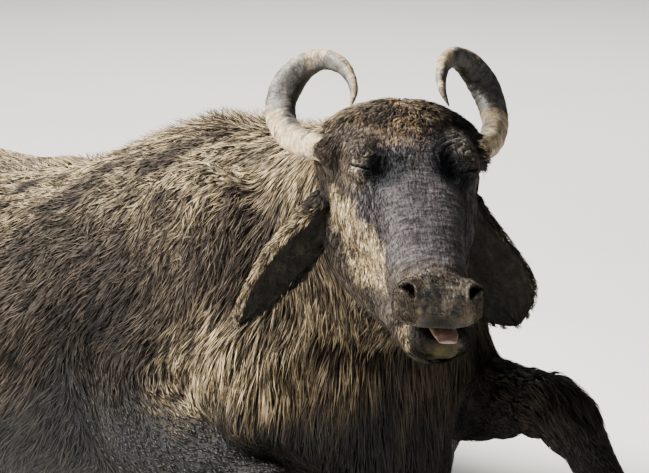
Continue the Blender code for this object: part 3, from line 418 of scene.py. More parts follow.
JAW = (
    (0.035, 0, -0.190, 0.065, -0.14, -0.236, 2.0, 2.0),
    (0.080, 0, -0.185, 0.100, -0.12, -0.260, 2.0, 2.0),
    (0.130, 0, -0.178, 0.112, -0.11, -0.270, 2.0, 1.9),
    (0.180, 0, -0.172, 0.110, -0.11, -0.266, 2.0, 1.9),
    (0.225, 0, -0.168, 0.102, -0.11, -0.254, 2.0, 1.9),
    (0.270, 0, -0.164, 0.087, -0.11, -0.236, 2.0, 1.9),
    (0.315, 0, -0.158, 0.069, -0.112, -0.216, 2.0, 2.0),
    (0.360, 0.004, -0.150, 0.055, -0.112, -0.195, 2.0, 2.0),
    (0.400, 0.010, -0.138, 0.050, -0.104, -0.172, 2.2, 2.1),
    (0.430, 0.014, -0.125, 0.050, -0.092, -0.157, 2.4, 2.2),
    (0.450, 0.016, -0.116, 0.044, -0.086, -0.144, 2.3, 2.2),
    (0.463, 0.016, -0.108, 0.028, -0.090, -0.127, 2.0, 2.0),
)

# Spot in the head's frame at its left, reach along each axis, and the height of the swelling
HEAD_SWELLS = (
    ((0.126, 0.088, -0.004), (0.030, 0.032, 0.028), 0.014),  # brow over the eye
    ((0.162, 0.088, -0.020), (0.028, 0.026, 0.028), 0.015),  # eyelids
    ((0.160, 0.056, -0.002), (0.030, 0.019, 0.034), -0.010),  # hollow within the brow
    ((0.216, 0.098, -0.030), (0.026, 0.034, 0.028), -0.006),  # hollow before the eye
    ((0.275, 0.078, -0.050), (0.060, 0.026, 0.026), -0.007),  # side of the nose
    ((0.070, 0.125, -0.075), (0.034, 0.040, 0.036), 0.012),  # horn root
    ((0.112, 0.120, -0.095), (0.024, 0.030, 0.030), -0.006),  # temple
    ((0.210, 0.100, -0.100), (0.060, 0.040, 0.014), 0.005),  # cheek ridge
    ((0.428, 0.053, -0.014), (0.022, 0.022, 0.020), 0.012),  # nostril wing
    ((0.398, 0.046, -0.018), (0.016, 0.030, 0.022), -0.006),  # fold behind the nostril
    ((0.455, 0.000, -0.022), (0.022, 0.012, 0.026), -0.004),  # groove of the nose pad
    ((0.452, 0.046, -0.044), (0.018, 0.018, 0.012), 0.005),  # swelling under the nostril
    ((0.440, 0.048, -0.066), (0.026, 0.025, 0.010), 0.004),  # upper lip
    ((0.385, 0.060, -0.100), (0.030, 0.020, 0.018), 0.004),  # corner of the mouth
    ((0.440, 0.000, -0.150), (0.024, 0.035, 0.020), 0.003),  # chin
    ((0.050, 0.000, 0.000), (0.060, 0.060, 0.050), 0.008),  # crown
)

# Centre at the left side, and radii
BODY_BALLS = (
    ((0.185, 0.00, 0.440), (0.085, 0.17, 0.200)),  # shoulder blade
    ((0.200, -0.13, 0.290), (0.085, 0.13, 0.130)),  # point of the shoulder
    ((0.270, 0.86, 0.290), (0.115, 0.22, 0.210)),  # thigh
    ((0.320, 0.70, 0.200), (0.085, 0.13, 0.120)),  # stifle
    ((0.195, 0.83, 0.455), (0.100, 0.13, 0.068)),  # hip bone
    ((0.090, 1.12, 0.400), (0.065, 0.07, 0.065)),  # seat bone
)

# X, Y, Z, half width, half height down each leg
FORE_FOLDED = (
    (-0.225, 0.12, 0.31, 0.070, 0.110),
    (-0.262, 0.05, 0.215, 0.075, 0.095),
    (-0.268, -0.05, 0.165, 0.066, 0.074),
    (-0.250, -0.15, 0.130, 0.056, 0.060),
    (-0.235, -0.235, 0.108, 0.052, 0.058),
    (-0.228, -0.275, 0.098, 0.040, 0.046),
)
FORE_FOLDED_CANNON = (
    (-0.232, -0.272, 0.084, 0.042, 0.050),
    (-0.243, -0.215, 0.046, 0.036, 0.046),
    (-0.268, -0.120, 0.032, 0.031, 0.038),
    (-0.300, -0.045, 0.031, 0.037, 0.039),
    (-0.318, 0.000, 0.029, 0.032, 0.030),
    (-0.330, 0.030, 0.028, 0.020, 0.022),
)
FORE_REACHING = (
    (0.225, 0.03, 0.30, 0.080, 0.110),
    (0.250, -0.09, 0.230, 0.078, 0.095),
    (0.245, -0.21, 0.215, 0.068, 0.076),
    (0.218, -0.33, 0.228, 0.057, 0.060),
    (0.184, -0.43, 0.240, 0.053, 0.055),
    (0.164, -0.495, 0.236, 0.053, 0.057),
    (0.155, -0.550, 0.198, 0.043, 0.045),
    (0.150, -0.610, 0.142, 0.034, 0.036),
    (0.147, -0.660, 0.094, 0.038, 0.041),
    (0.145, -0.692, 0.062, 0.036, 0.036),
    (0.144, -0.715, 0.040, 0.024, 0.026),
)
HIND_SHANK = (
    (0.345, 0.68, 0.225, 0.085, 0.110),
    (0.385, 0.78, 0.195, 0.075, 0.095),
    (0.400, 0.89, 0.150, 0.060, 0.070),
    (0.402, 0.98, 0.112, 0.046, 0.060),
    (0.402, 1.02, 0.098, 0.038, 0.048),
)
HIND_CANNON = (
    (0.400, 1.020, 0.082, 0.040, 0.056),
    (0.415, 0.960, 0.046, 0.037, 0.048),
    (0.440, 0.860, 0.033, 0.031, 0.040),
    (0.462, 0.770, 0.031, 0.037, 0.039),
    (0.474, 0.725, 0.030, 0.033, 0.030),
    (0.482, 0.695, 0.028, 0.020, 0.022),
)
HIND_SHIFT = Vector((0.010, 0.035, 0))  # the left hind leg lies a little further back
TAIL = (
    (0.0, 1.08, 0.455, 0.050, 0.045),
    (0.0, 1.16, 0.450, 0.042, 0.038),
    (0.003, 1.225, 0.410, 0.034, 0.032),
    (0.012, 1.252, 0.320, 0.027, 0.026),
    (0.030, 1.260, 0.210, 0.023, 0.022),
    (0.060, 1.262, 0.110, 0.020, 0.020),
    (0.105, 1.262, 0.045, 0.019, 0.020),
    (0.170, 1.258, 0.022, 0.020, 0.022),
    (0.240, 1.248, 0.022, 0.027, 0.024),
    (0.305, 1.235, 0.018, 0.022, 0.020),
    (0.350, 1.222, 0.012, 0.008, 0.012),
)


def mirrored(rows):
    return [(-x, *rest) for x, *rest in rows]


def moved(rows, shift):
    return [(x + shift.x, y + shift.y, *rest) for x, y, *rest in rows]


def flesh_masses():
    """Every closed mass of the trunk, neck, head, legs and tail, before they are fused."""
    world = (Vector((0, 1, 0)), Vector((1, 0, 0)), UP)
    face = (HEAD.col[0], HEAD.col[1], HEAD.col[2])
    masses = [
        framed_loft("trunk", TRUNK, world, Vector(), 60, 48),
        limb("neck", NECK, 24, 40),
        framed_loft("skull", SKULL, face, POLL, 60, 48),
        framed_loft("jaw", JAW, face, POLL, 40, 32),
        limb("arm", FORE_FOLDED, 24, 20),
        limb("shin", FORE_FOLDED_CANNON, 24, 18),
        limb("arm", FORE_REACHING, 44, 20),
        limb("tail", TAIL, 60, 16),
    ]
    for rows in (HIND_SHANK, HIND_CANNON):
        masses.append(limb("hind", mirrored(rows), 24, 18))
        masses.append(limb("hind", moved(rows, HIND_SHIFT), 24, 18))
    for side in (1, -1):
        masses += [ball("mass", Vector((x * side, y, z)), radii) for (x, y, z), radii in BODY_BALLS]
    return masses


def join(name, objects):
    mesh = bmesh.new()
    for obj in objects:
        mesh.from_mesh(obj.data)
        bpy.data.objects.remove(obj, do_unlink=True)
    return from_bmesh(name, mesh)


def apply_modifiers(obj):
    graph = bpy.context.evaluated_depsgraph_get()
    mesh = bpy.data.meshes.new_from_object(obj.evaluated_get(graph))
    obj.modifiers.clear()
    obj.data = mesh


def points_of(obj):
    found = np.empty(len(obj.data.vertices) * 3)
    obj.data.vertices.foreach_get("co", found)
    return found.reshape(-1, 3)


def set_points(obj, points):
    obj.data.vertices.foreach_set("co", points.ravel())
    obj.data.update()


def normals_of(obj):
    found = np.empty(len(obj.data.vertices) * 3)
    obj.data.vertex_normals.foreach_get("vector", found)
    return found.reshape(-1, 3)


def in_head_frame(points):
    return (points - np.array(POLL)) @ np.array(HEAD)


def on_head(points, edge=0.10):
    """0 on the neck and trunk, rising to 1 over the head."""
    u, v, w = in_head_frame(points).T
    ahead = np.clip(u / edge, 0, 1)
    above = np.clip((w + 0.36) / edge, 0, 1)
    return ahead * above * (np.abs(v) < 0.25)


def smooth_body(body, iterations, weights):
    group = body.vertex_groups.new(name="soft")
    for i, weight in enumerate(weights):
        group.add([i], float(weight), "REPLACE")
    smooth = body.modifiers.new("smooth", "SMOOTH")
    smooth.factor = 0.5
    smooth.iterations = iterations
    smooth.vertex_group = "soft"
    apply_modifiers(body)
    body.vertex_groups.clear()


def fuse(name, masses, voxel):
    """One skin round all the masses, with the creases between them smoothed."""
    body = join(name, masses)
    remesh = body.modifiers.new("fuse", "REMESH")
    remesh.mode = "VOXEL"
    remesh.voxel_size = voxel
    apply_modifiers(body)
    points = points_of(body)
    low = np.clip((points[:, 2] - 0.05) / 0.25, 0.2, 1)
    head = on_head(points)
    smooth_body(body, SMOOTHING, (1 - head) * low)
    smooth_body(body, HEAD_SMOOTHING, np.ones(len(points)))
    return body


def swell(body, swells):
    """Raises or sinks the head along its own normals by soft round swellings, on both sides."""
    points, normals = points_of(body), normals_of(body)
    local = in_head_frame(points)
    local[:, 1] = np.abs(local[:, 1])
    height = np.zeros(len(points))
    for spot, reach, amount in swells:
        height += amount * np.exp(-(((local - spot) / reach) ** 2).sum(axis=1))
    set_points(body, points + normals * (height * on_head(points, 0.02))[:, None])


def soft_step(values, low, high):
    """0 below low, 1 above high, smooth between; low may be the larger of the two."""
    part = np.clip((values - low) / (high - low), 0, 1)
    return part * part * (3 - 2 * part)


def bump(values, middle, reach):
    return np.exp(-(((values - middle) / reach) ** 2))


def dot(first, second):
    return (first * second).sum(axis=1)


def unit(vectors):
    return vectors / np.maximum(np.linalg.norm(vectors, axis=1), 1e-9)[:, None]


def hashed(lattice, seed):
    """A repeatable value from 0 to 1 for each whole-number point."""
    x, y, z = (lattice.astype(np.int64) & 0xFFFFFFFF).T
    mixed = (x * 73856093 ^ y * 19349663 ^ z * 83492791 ^ seed * 40503) & 0xFFFFFFFF
    mixed = ((mixed ^ (mixed >> 13)) * 1274126177) & 0xFFFFFFFF
    return ((mixed ^ (mixed >> 16)) & 0xFFFF) / 0xFFFF


def noise(points, size, seed):
    """Smooth noise from -1 to 1 whose bumps are about size across."""
    scaled = points / size
    base = np.floor(scaled)
    part = scaled - base
    part = part * part * (3 - 2 * part)
    total = np.zeros(len(points))
    for corner in np.ndindex(2, 2, 2):
        weight = np.where(corner, part, 1 - part).prod(axis=1)
        total += weight * hashed(base + corner, seed)
    return total * 2 - 1


# The skin


def thin_body(obj, triangles):
    """Brings all but the head down to this many triangles."""
    body = on_head(points_of(obj), 0.03) < 0.01
    obj.data.calc_loop_triangles()
    share = sum(all(body[v] for v in t.vertices) for t in obj.data.loop_triangles)
    whole = len(obj.data.loop_triangles)
    group = obj.vertex_groups.new(name="thin")
    group.add([int(i) for i in np.nonzero(body)[0]], 1.0, "REPLACE")
    few = obj.modifiers.new("few", "DECIMATE")
    few.ratio = (whole - share + triangles) / whole
    few.vertex_group = "thin"
    apply_modifiers(obj)
    obj.vertex_groups.clear()


def divide_where(obj, chosen):
    """Splits each face among the chosen points into four and eases the new ones into the surface."""
    mesh = bmesh.new()
    mesh.from_mesh(obj.data)
    edges = [e for e in mesh.edges if chosen[e.verts[0].index] and chosen[e.verts[1].index]]
    made = bmesh.ops.subdivide_edges(mesh, edges=edges, cuts=1, use_grid_fill=True)
    fresh = [item for item in made["geom_inner"] if isinstance(item, bmesh.types.BMVert)]
    bmesh.ops.smooth_vert(mesh, verts=fresh, factor=0.5, use_axis_x=True, use_axis_y=True, use_axis_z=True)
    bmesh.ops.triangulate(mesh, faces=[f for f in mesh.faces if len(f.verts) > 4])
    mesh.to_mesh(obj.data)
    mesh.free()
    obj.data.update()


def eye_frame(side):
    """The eye's middle from the solids, and the directions along its lids, up over it and out of it."""
    low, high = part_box("eye_left" if side > 0 else "eye_right")
    centre = (low + high) / 2
    look = (HEAD @ sided(EYE_LOOK, side)).normalized()
    forward = (HEAD @ sided(LID_LINE, side)).normalized()
    over = look.cross(forward).normalized()
    if over.z < 0:
        over = -over
    along = over.cross(look).normalized()
    return np.array(centre), np.array(along), np.array(over), np.array(look)


def in_eye(points, side):
    centre, along, over, look = eye_frame(side)
    from_eye = points - centre
    return from_eye @ along, from_eye @ over, from_eye @ look


def nostril_frame(side):
    """The nostril's middle, its long and short directions and the way it opens, in the head's frame."""
    opening = sided(NOSTRIL_OPENS, side).normalized()
    long = sided(NOSTRIL_LONG, side)
    long = (long - opening * long.dot(opening)).normalized()
    short = opening.cross(long)
    middle = np.array(NOSTRIL) * (1, side, 1)
    return middle, np.array(long), np.array(short), np.array(opening)


def in_nostril(local, side):
    middle, long, short, opening = nostril_frame(side)
    away = local - middle
    return away @ long, away @ short, away @ opening


def refine_head(skin):
    """Fine facets on the head, finer at the muzzle and mouth, finest at the eyes and nostrils."""
    divide_where(skin, on_head(points_of(skin), 0.03) > 0.01)
    for reach in (1.0, 0.5):
        points = points_of(skin)
        local = in_head_frame(points)
        near = np.zeros(len(points), bool)
        share = 0.35 + 0.65 * reach
        for side in (1, -1):
            near |= np.linalg.norm(points - eye_frame(side)[0], axis=1) < 0.055 * share
            near |= np.linalg.norm(local - nostril_frame(side)[0], axis=1) < 0.036 * share
        if reach == 1.0:
            u, v, w = local.T
            near |= u > 0.36
            near |= (u > 0.2) & (np.abs(v) < 0.06) & (w > -0.06)
            near |= (np.abs(u - 0.105) < 0.045) & (np.abs(v) > 0.04) & (w > -0.06)
        divide_where(skin, near)


def shape_lids(points, side):
    """Thick lids round the eyeball, nearly closed, with a crease over and under them."""
    centre, _, _, look = eye_frame(side)
    a, b, out = in_eye(points, side)
    across = np.hypot(a, b)
    from_eye = points - centre
    distance = np.linalg.norm(from_eye, axis=1)
    on_lids = (1 - soft_step(across, 0.013, 0.027)) * (out > 0)
    round_ball = from_eye / distance[:, None] * (EYE_RADIUS + LID_THICK)
    from_eye = from_eye + (round_ball - from_eye) * (on_lids * LID_ROUNDING)[:, None]
    off = b - lid_line(a)
    window = over_lids(a, out, LID_HALF, LID_HALF * 0.72)
    fold = over_lids(a, out, FOLD_FAR, FOLD_NEAR)
    height = np.zeros(len(points))
    for heights, share in ((SLIT_EDGES, window), (LID_FOLDS, fold)):
        for amount, middle, reach in heights:
            height += amount * bump(off, middle, reach) * share
    height += 0.0007 * noise(points, 0.005, 11) * fold
    return centre + from_eye + look * height[:, None]


def off_nostril(a, b, side):
    """How far out of the nostril's slanting comma a spot is: 1 on its edge."""
    bent = b - 0.0040 * side * (a / 0.012) ** 2
    return np.hypot(a / 0.0145, bent / 0.0062)


def lid_line(a):
    """Where the closed lids meet, along their length."""
    return -0.0035 * (1 - (a / LID_HALF) ** 2) + 0.0015


def over_lids(a, out, far, near):
    """1 along the lids out to near, falling to 0 at far and behind the eye."""
    return soft_step(np.abs(a), far, near) * (out > 0)


def shape_nostril(points, side):
    """A deep slanting pit with a raised wing round it."""
    local = in_head_frame(points)
    a, b, out = in_nostril(local, side)
    opening = np.array(HEAD) @ nostril_frame(side)[3]
    near = (np.abs(out) < 0.03) & (np.hypot(a, b) < 0.05)
    q = off_nostril(a, b, side)
    depth = NOSTRIL_DEPTH * (1 - soft_step(q, 0.60, 1.15))
    rim = NOSTRIL_RIM * bump(q, 1.55, 0.38)
    slot = NOSTRIL_SLOT * bump(b, -0.002, 0.0030) * soft_step(-a, 0.008, 0.013) * soft_step(-a, 0.028, 0.016)
    return points + opening * ((rim - depth - slot) * near)[:, None]


def wrinkles(points):
    """Heights of the folds and creases of the head's skin."""
    u, v, w = in_head_frame(points).T
    wander = noise(points, 0.022, 3)
    head = on_head(points, 0.04)
    bridge = soft_step(u, 0.20, 0.27) * soft_step(u, 0.40, 0.37) * soft_step(w, -0.075, -0.035)
    waves = np.sin(2 * math.pi * (u + 1.6 * v * v + 0.0035 * wander) / 0.0088)
    height = bridge * 0.00040 * waves * (0.5 + 0.5 * noise(points, 0.012, 5))
    for side in (1, -1):
        a, b, out = in_eye(points, side)
        away = np.hypot(a, b)
        brow = soft_step(away, 0.026, 0.034) * soft_step(away, 0.070, 0.054)
        brow = brow * soft_step(b, -0.004, 0.014) * (out > -0.03)
        folds = np.sin(2 * math.pi * (away + 0.008 * wander) / 0.0105)
        deep = BROW_FOLD_LEFT if side > 0 else BROW_FOLD_RIGHT
        height += brow * deep * folds * (0.6 + 0.8 * noise(points, 0.02, 6))
        hollow = np.linalg.norm(in_head_frame(points) - np.array(HOLLOW) * (1, side, 1), axis=1)
        height -= HOLLOW_DEPTH * bump(hollow, 0, 0.020)
        cheek = bump(u, 0.22, 0.07) * bump(w, -0.13, 0.045) * (v * side > 0.05)
        drape = np.sin(2 * math.pi * (u * 0.72 + w * 0.55 + 0.010 * wander) / 0.026)
        height += cheek * 0.0012 * drape
    lips = soft_step(u, 0.40, 0.44) * bump(w, -0.078, 0.02)
    height += lips * 0.0005 * np.sin(2 * math.pi * (v + 0.003 * wander) / 0.007)
    height += 0.0009 * noise(points, 0.018, 8) + 0.0005 * noise(points, 0.008, 9)
    return height * head


def loose_skin(points):
    """Long soft folds of the neck and the breast."""
    _, y, z = points.T
    neck = soft_step(y, -0.02, -0.16) * soft_step(y, -0.62, -0.50) * (1 - on_head(points, 0.06))
    wander = noise(points, 0.11, 21)
    folds = np.sin(2 * math.pi * (y * 0.9 + z * 0.45 + 0.02 * wander) / 0.075)
    hollows = 0.003 * noise(points, 0.09, 22) * (1 - on_head(points))
    return neck * 0.0035 * folds * soft_step(z, 0.62, 0.45) + hollows


def cut_mouth(skin):
    """A wedge that opens toward the front, with its edges rounded into lips."""
    mesh = bmesh.new()
    corners = []
    back = (MOUTH_BACK, MOUTH_LEVEL_BACK, MOUTH_GAP_BACK)
    front = (MOUTH_FRONT, MOUTH_LEVEL_FRONT, MOUTH_GAP_FRONT)
    for u, level, half in (back, front):
        for v, w in ((-1, -1), (1, -1), (1, 1), (-1, 1)):
            corners.append(mesh.verts.new(at_head(u, v * MOUTH_HALF, level + w * half)))
    mesh.faces.new(corners[:4])
    mesh.faces.new(corners[4:])
    for k in range(4):
        n = (k + 1) % 4
        mesh.faces.new((corners[k], corners[n], corners[4 + n], corners[4 + k]))
    bmesh.ops.recalc_face_normals(mesh, faces=mesh.faces)
    cutter = from_bmesh("mouth", mesh)
    combine(skin, cutter, "DIFFERENCE")
    bpy.data.objects.remove(cutter, do_unlink=True)
    u, v, w = in_head_frame(points_of(skin)).T
    level = np.interp(u, (MOUTH_BACK, MOUTH_FRONT), (MOUTH_LEVEL_BACK, MOUTH_LEVEL_FRONT))
    at_lips = (u > MOUTH_BACK - 0.01) & (np.abs(w - level) < 0.022) & (np.abs(v) < MOUTH_HALF)
    smooth_body(skin, 7, at_lips.astype(float))


def combine(obj, other, operation):
    join_up = obj.modifiers.new(operation.lower(), "BOOLEAN")
    join_up.operation = operation
    join_up.object = other
    join_up.solver = "MANIFOLD"
    apply_modifiers(obj)


def flatten_foot(points):
    """Brings what lies under the floor up to it."""
    points[:, 2] = np.maximum(points[:, 2], FLOOR_RISE)
    return points


def soften_blade(skin):
    """Lets the top of the left shoulder blade run into the back without a crease."""
    away = np.linalg.norm(points_of(skin) - BLADE_TOP, axis=1)
    smooth_body(skin, BLADE_SMOOTHING, soft_step(away, BLADE_FAR, BLADE_NEAR))


def make_skin(ears):
    skin = fuse("skin", flesh_masses(), VOXEL)
    soften_blade(skin)
    swell(skin, HEAD_SWELLS)
    thin_body(skin, BODY_TRIANGLES)
    refine_head(skin)
    points, normals = points_of(skin), normals_of(skin)
    deep = SKIN_INSET * (1 - on_head(points, 0.05)) * soft_step(points[:, 2], 0.05, 0.15)
    height = wrinkles(points) + loose_skin(points) - deep
    set_points(skin, points + normals * height[:, None])
    points = points_of(skin)
    for side in (1, -1):
        points = shape_lids(points, side)
        points = shape_nostril(points, side)
    set_points(skin, flatten_foot(points))
    cut_mouth(skin)
    for ear in ears:
        combine(skin, ear.obj, "UNION")
    shade_smooth(skin)
    return skin


def bare_skin(points):
    """1 on the hairless front of the muzzle and the rim of the lower lip, with a ragged edge."""
    u, v, w = in_head_frame(points).T
    ragged = 0.007 * noise(points, 0.014, 81) + 0.004 * noise(points, 0.006, 82)
    front = soft_step(u + ragged, 0.418, 0.434) * soft_step(np.abs(v - 0.004) + ragged, 0.050, 0.034)
    front *= soft_step(w + ragged, -0.098, -0.086)
    lip = soft_step(u + ragged, 0.432, 0.444) * soft_step(np.abs(v - 0.020) + ragged, 0.034, 0.022)
    lip *= soft_step(w, -0.150, -0.138) * (w < -0.08)
    return np.maximum(front, lip)


def painted_pit_shade(points):
    """Painted shade: 1 in the nostrils and between the lids, less in the creases round the eyes."""
    dark = np.zeros(len(points))
    local = in_head_frame(points)
    for side in (1, -1):
        a, b, out = in_nostril(local, side)
        inside = soft_step(off_nostril(a, b, side), 1.20, 0.85) * (np.abs(out) < 0.03)
        a, b, out = in_eye(points, side)
        off = b - lid_line(a)
        slit = bump(off, -0.0004, 0.0018) * over_lids(a, out, LID_HALF * 1.1, LID_HALF * 0.8)
        fold = over_lids(a, out, FOLD_FAR, FOLD_NEAR)
        lines = sum(bump(off, line, 0.0013) for line in (0.0120, 0.0215, -0.0115))
        dark = np.maximum.reduce((dark, inside, slit, 0.45 * lines * fold))
    return dark


def mark_skin(skin, coat):
    """Stores what the skin's material reads: the pits' painted shade, bare skin, the face, the ears' cups,
    and places.
    """
    points = points_of(skin)
    on_ear, _, _, _, cup = coat.ear(points)
    store(skin, "pit_shade", painted_pit_shade(points))
    store(skin, "bare", bare_skin(points))
    store(skin, "face", on_head(points, 0.05) * (1 - on_ear))
    store(skin, "cup", cup)
    store(skin, "head_place", in_head_frame(points))


def store(obj, name, values):
    """Keeps a number or a direction for each point of a mesh."""
    kind, key = ("FLOAT", "value") if values.ndim == 1 else ("FLOAT_VECTOR", "vector")
    kept = obj.data.attributes.new(name, kind, "POINT").data
    kept.foreach_set(key, values.astype(np.float32).ravel())


def shade_smooth(obj):
    obj.data.polygons.foreach_set("use_smooth", np.ones(len(obj.data.polygons), bool))
    obj.data.update()


class Ear:
    """One ear: a leaf-shaped cup about a midrib that hangs down and back, with a soft, uneven rim."""

    def __init__(self, word, side, tip, looks, bow, fullness, rolled):
        self.rolled = rolled
        forward, left = level_ways()
        reach = left * tip[0] + forward * tip[1] + Vector((0, 0, tip[2]))
        face = (left * looks[0] + forward * looks[1] + Vector((0, 0, looks[2]))).normalized()
        root = at_head(*sided(EAR_ROOT, side))
        bend = (left * side + Vector((0, 0, 0.7))).normalized() * bow
        knots = [root, root + reach * 0.3 + bend, root + reach * 0.65 + bend * 0.8, root + reach]
        self.spine = catmull(knots, EAR_STATIONS)
        self.along = []
        self.inner = []
        self.half = []
        self.radius = []
        rings = [self.section(i, face, fullness) for i in range(EAR_STATIONS)]
        self.along = np.array(self.along)
        self.inner = np.array(self.inner)
        self.half = np.array(self.half)
        self.radius = np.array(self.radius)
        self.obj = loft("ear_" + word, rings)
        self.tree = tree_of(self.obj)

    def section(self, i, face, fullness):
        shape = np.array(EAR_SHAPE)
        t = i / (EAR_STATIONS - 1)
        middle = Vector(self.spine[i])
        after, before = self.spine[min(i + 1, EAR_STATIONS - 1)], self.spine[max(i - 1, 0)]
        ahead = Vector(after - before).normalized()
        inner = (face - ahead * face.dot(ahead)).normalized()
        across = ahead.cross(inner)
        width = float(np.interp(t**fullness, shape[:, 0], shape[:, 1]))
        spread = math.radians(np.interp(t**fullness, shape[:, 0], shape[:, 2]))
        radius = width / 2 / math.sin(min(spread, math.pi / 2))
        centre = middle + inner * radius
        thick = EAR_THICK * (1 - 0.6 * t)
        self.along.append(ahead)
        self.inner.append(inner)
        self.half.append(width / 2)
        self.radius.append(radius)
        points = []
        for way in (1, -1):
            for k in range(EAR_STEPS):
                share = (2 * k / (EAR_STEPS - 1) - 1) * way
                taper = 0.35 + 0.65 * math.sqrt(max(0, 1 - share**4))
                ripple = 0.0012 * math.sin(share * 9 + t * 14) + 0.0008 * math.sin(share * 23 + t * 5)
                upper = soft_step(share * np.sign(across.z), ROLL_FROM, ROLL_FROM + 0.20)
                roll = self.rolled * (way < 0) * upper * ROLL_DEPTH * math.sqrt(1 - t)
                r = radius + way * thick / 2 * taper + ripple - roll
                angle = spread * share
                points.append(centre + (across * math.sin(angle) - inner * math.cos(angle)) * r)
        return points

    def near(self, points):
        """How far down the ear and towards its rim each point is, the ear's direction, and how far within.

        That is 1 inside the cup, and -1 on the muddy outside of the rolled ear.
        """
        away = points[:, None, :] - self.spine[None, ::4, :]
        station = (away**2).sum(axis=2).argmin(axis=1) * 4
        offset = points - self.spine[station]
        across = np.cross(self.along[station], self.inner[station])
        share = dot(offset, across) / self.half[station]
        centre = self.spine[station] + self.inner[station] * self.radius[station][:, None]
        within = np.linalg.norm(points - centre, axis=1) < self.radius[station] + 0.003
        upper = share * np.sign(across[:, 2]) * self.rolled
        within = within * soft_step(upper, ROLL_FROM + 0.12, ROLL_FROM)
        within = within - self.rolled * (1 - within)
        down = station / (EAR_STATIONS - 1)
        return down, np.abs(share), self.along[station], within * soft_step(down, 0.05, 0.14)


def tree_of(obj):
    mesh = bmesh.new()
    mesh.from_mesh(obj.data)
    tree = BVHTree.FromBMesh(mesh)
    mesh.free()
    return tree


def nearest(tree, points):
    """The closest spots of a surface, their outward directions, face numbers and distances."""
    found = [tree.find_nearest(point) for point in points]
    return [np.array(column) for column in zip(*found)]


# The coat

# Along Y, how far back and how far down the hair points; on the breast it hangs straight down
LIE_AT = (-0.45, -0.20, 0.10, 0.60, 1.05)
LIE_BACK = (0.30, 0.35, 0.60, 0.80, 0.55)
LIE_DOWN = (0.95, 0.95, 0.80, 0.65, 0.85)
BREAST_TOP = 0.42
BREAST_FOOT = 0.15
AT_ONCE = 4000  # points measured against the legs at a time
HORN_COLLAR = 0.012  # the raised hair at a horn's root starts this much closer to it
UNDER_SKIN = 0.0015  # how deep a tuft's root starts
OVER_SKIN = 0.0004  # how far a tuft lies off the skin at the least
HAIR_FLOOR = 0.0025  # no tuft comes lower than this


def limb_lines():
    """Points down the middle of each leg and the tail, their ways, half widths, and 1 for the tail."""
    spots, ways, halves, tails = [], [], [], []
    hind = [HIND_SHANK, HIND_CANNON]
    legs = [FORE_FOLDED, FORE_FOLDED_CANNON, FORE_REACHING]
    legs += [mirrored(rows) for rows in hind] + [moved(rows, HIND_SHIFT) for rows in hind]
    for rows in [*legs, TAIL]:
        path = catmull(rows, 24)
        spots.append(path[:, :3])
        ways.append(np.gradient(path[:, :3], axis=0))
        halves.append(path[:, 3])
        tails.append(np.full(24, float(rows is TAIL)))
    return np.concatenate(spots), unit(np.concatenate(ways)), np.concatenate(halves), np.concatenate(tails)


# The coat of the trunk; the other parts of the body differ from it. tangle is how far the tufts lie
# crosswise, clump how far they gather into locks, and short how far they are of the short kind.
BODY_HAIR = {
    "density": 1.0,
    "length": 0.041,
    "half": 0.0012,
    "lift": 0.13,
    "curl": 0.0020,
    "fall": 0.0,
    "tangle": 1.0,
    "clump": 0.5,
    "short": 0.0,
}


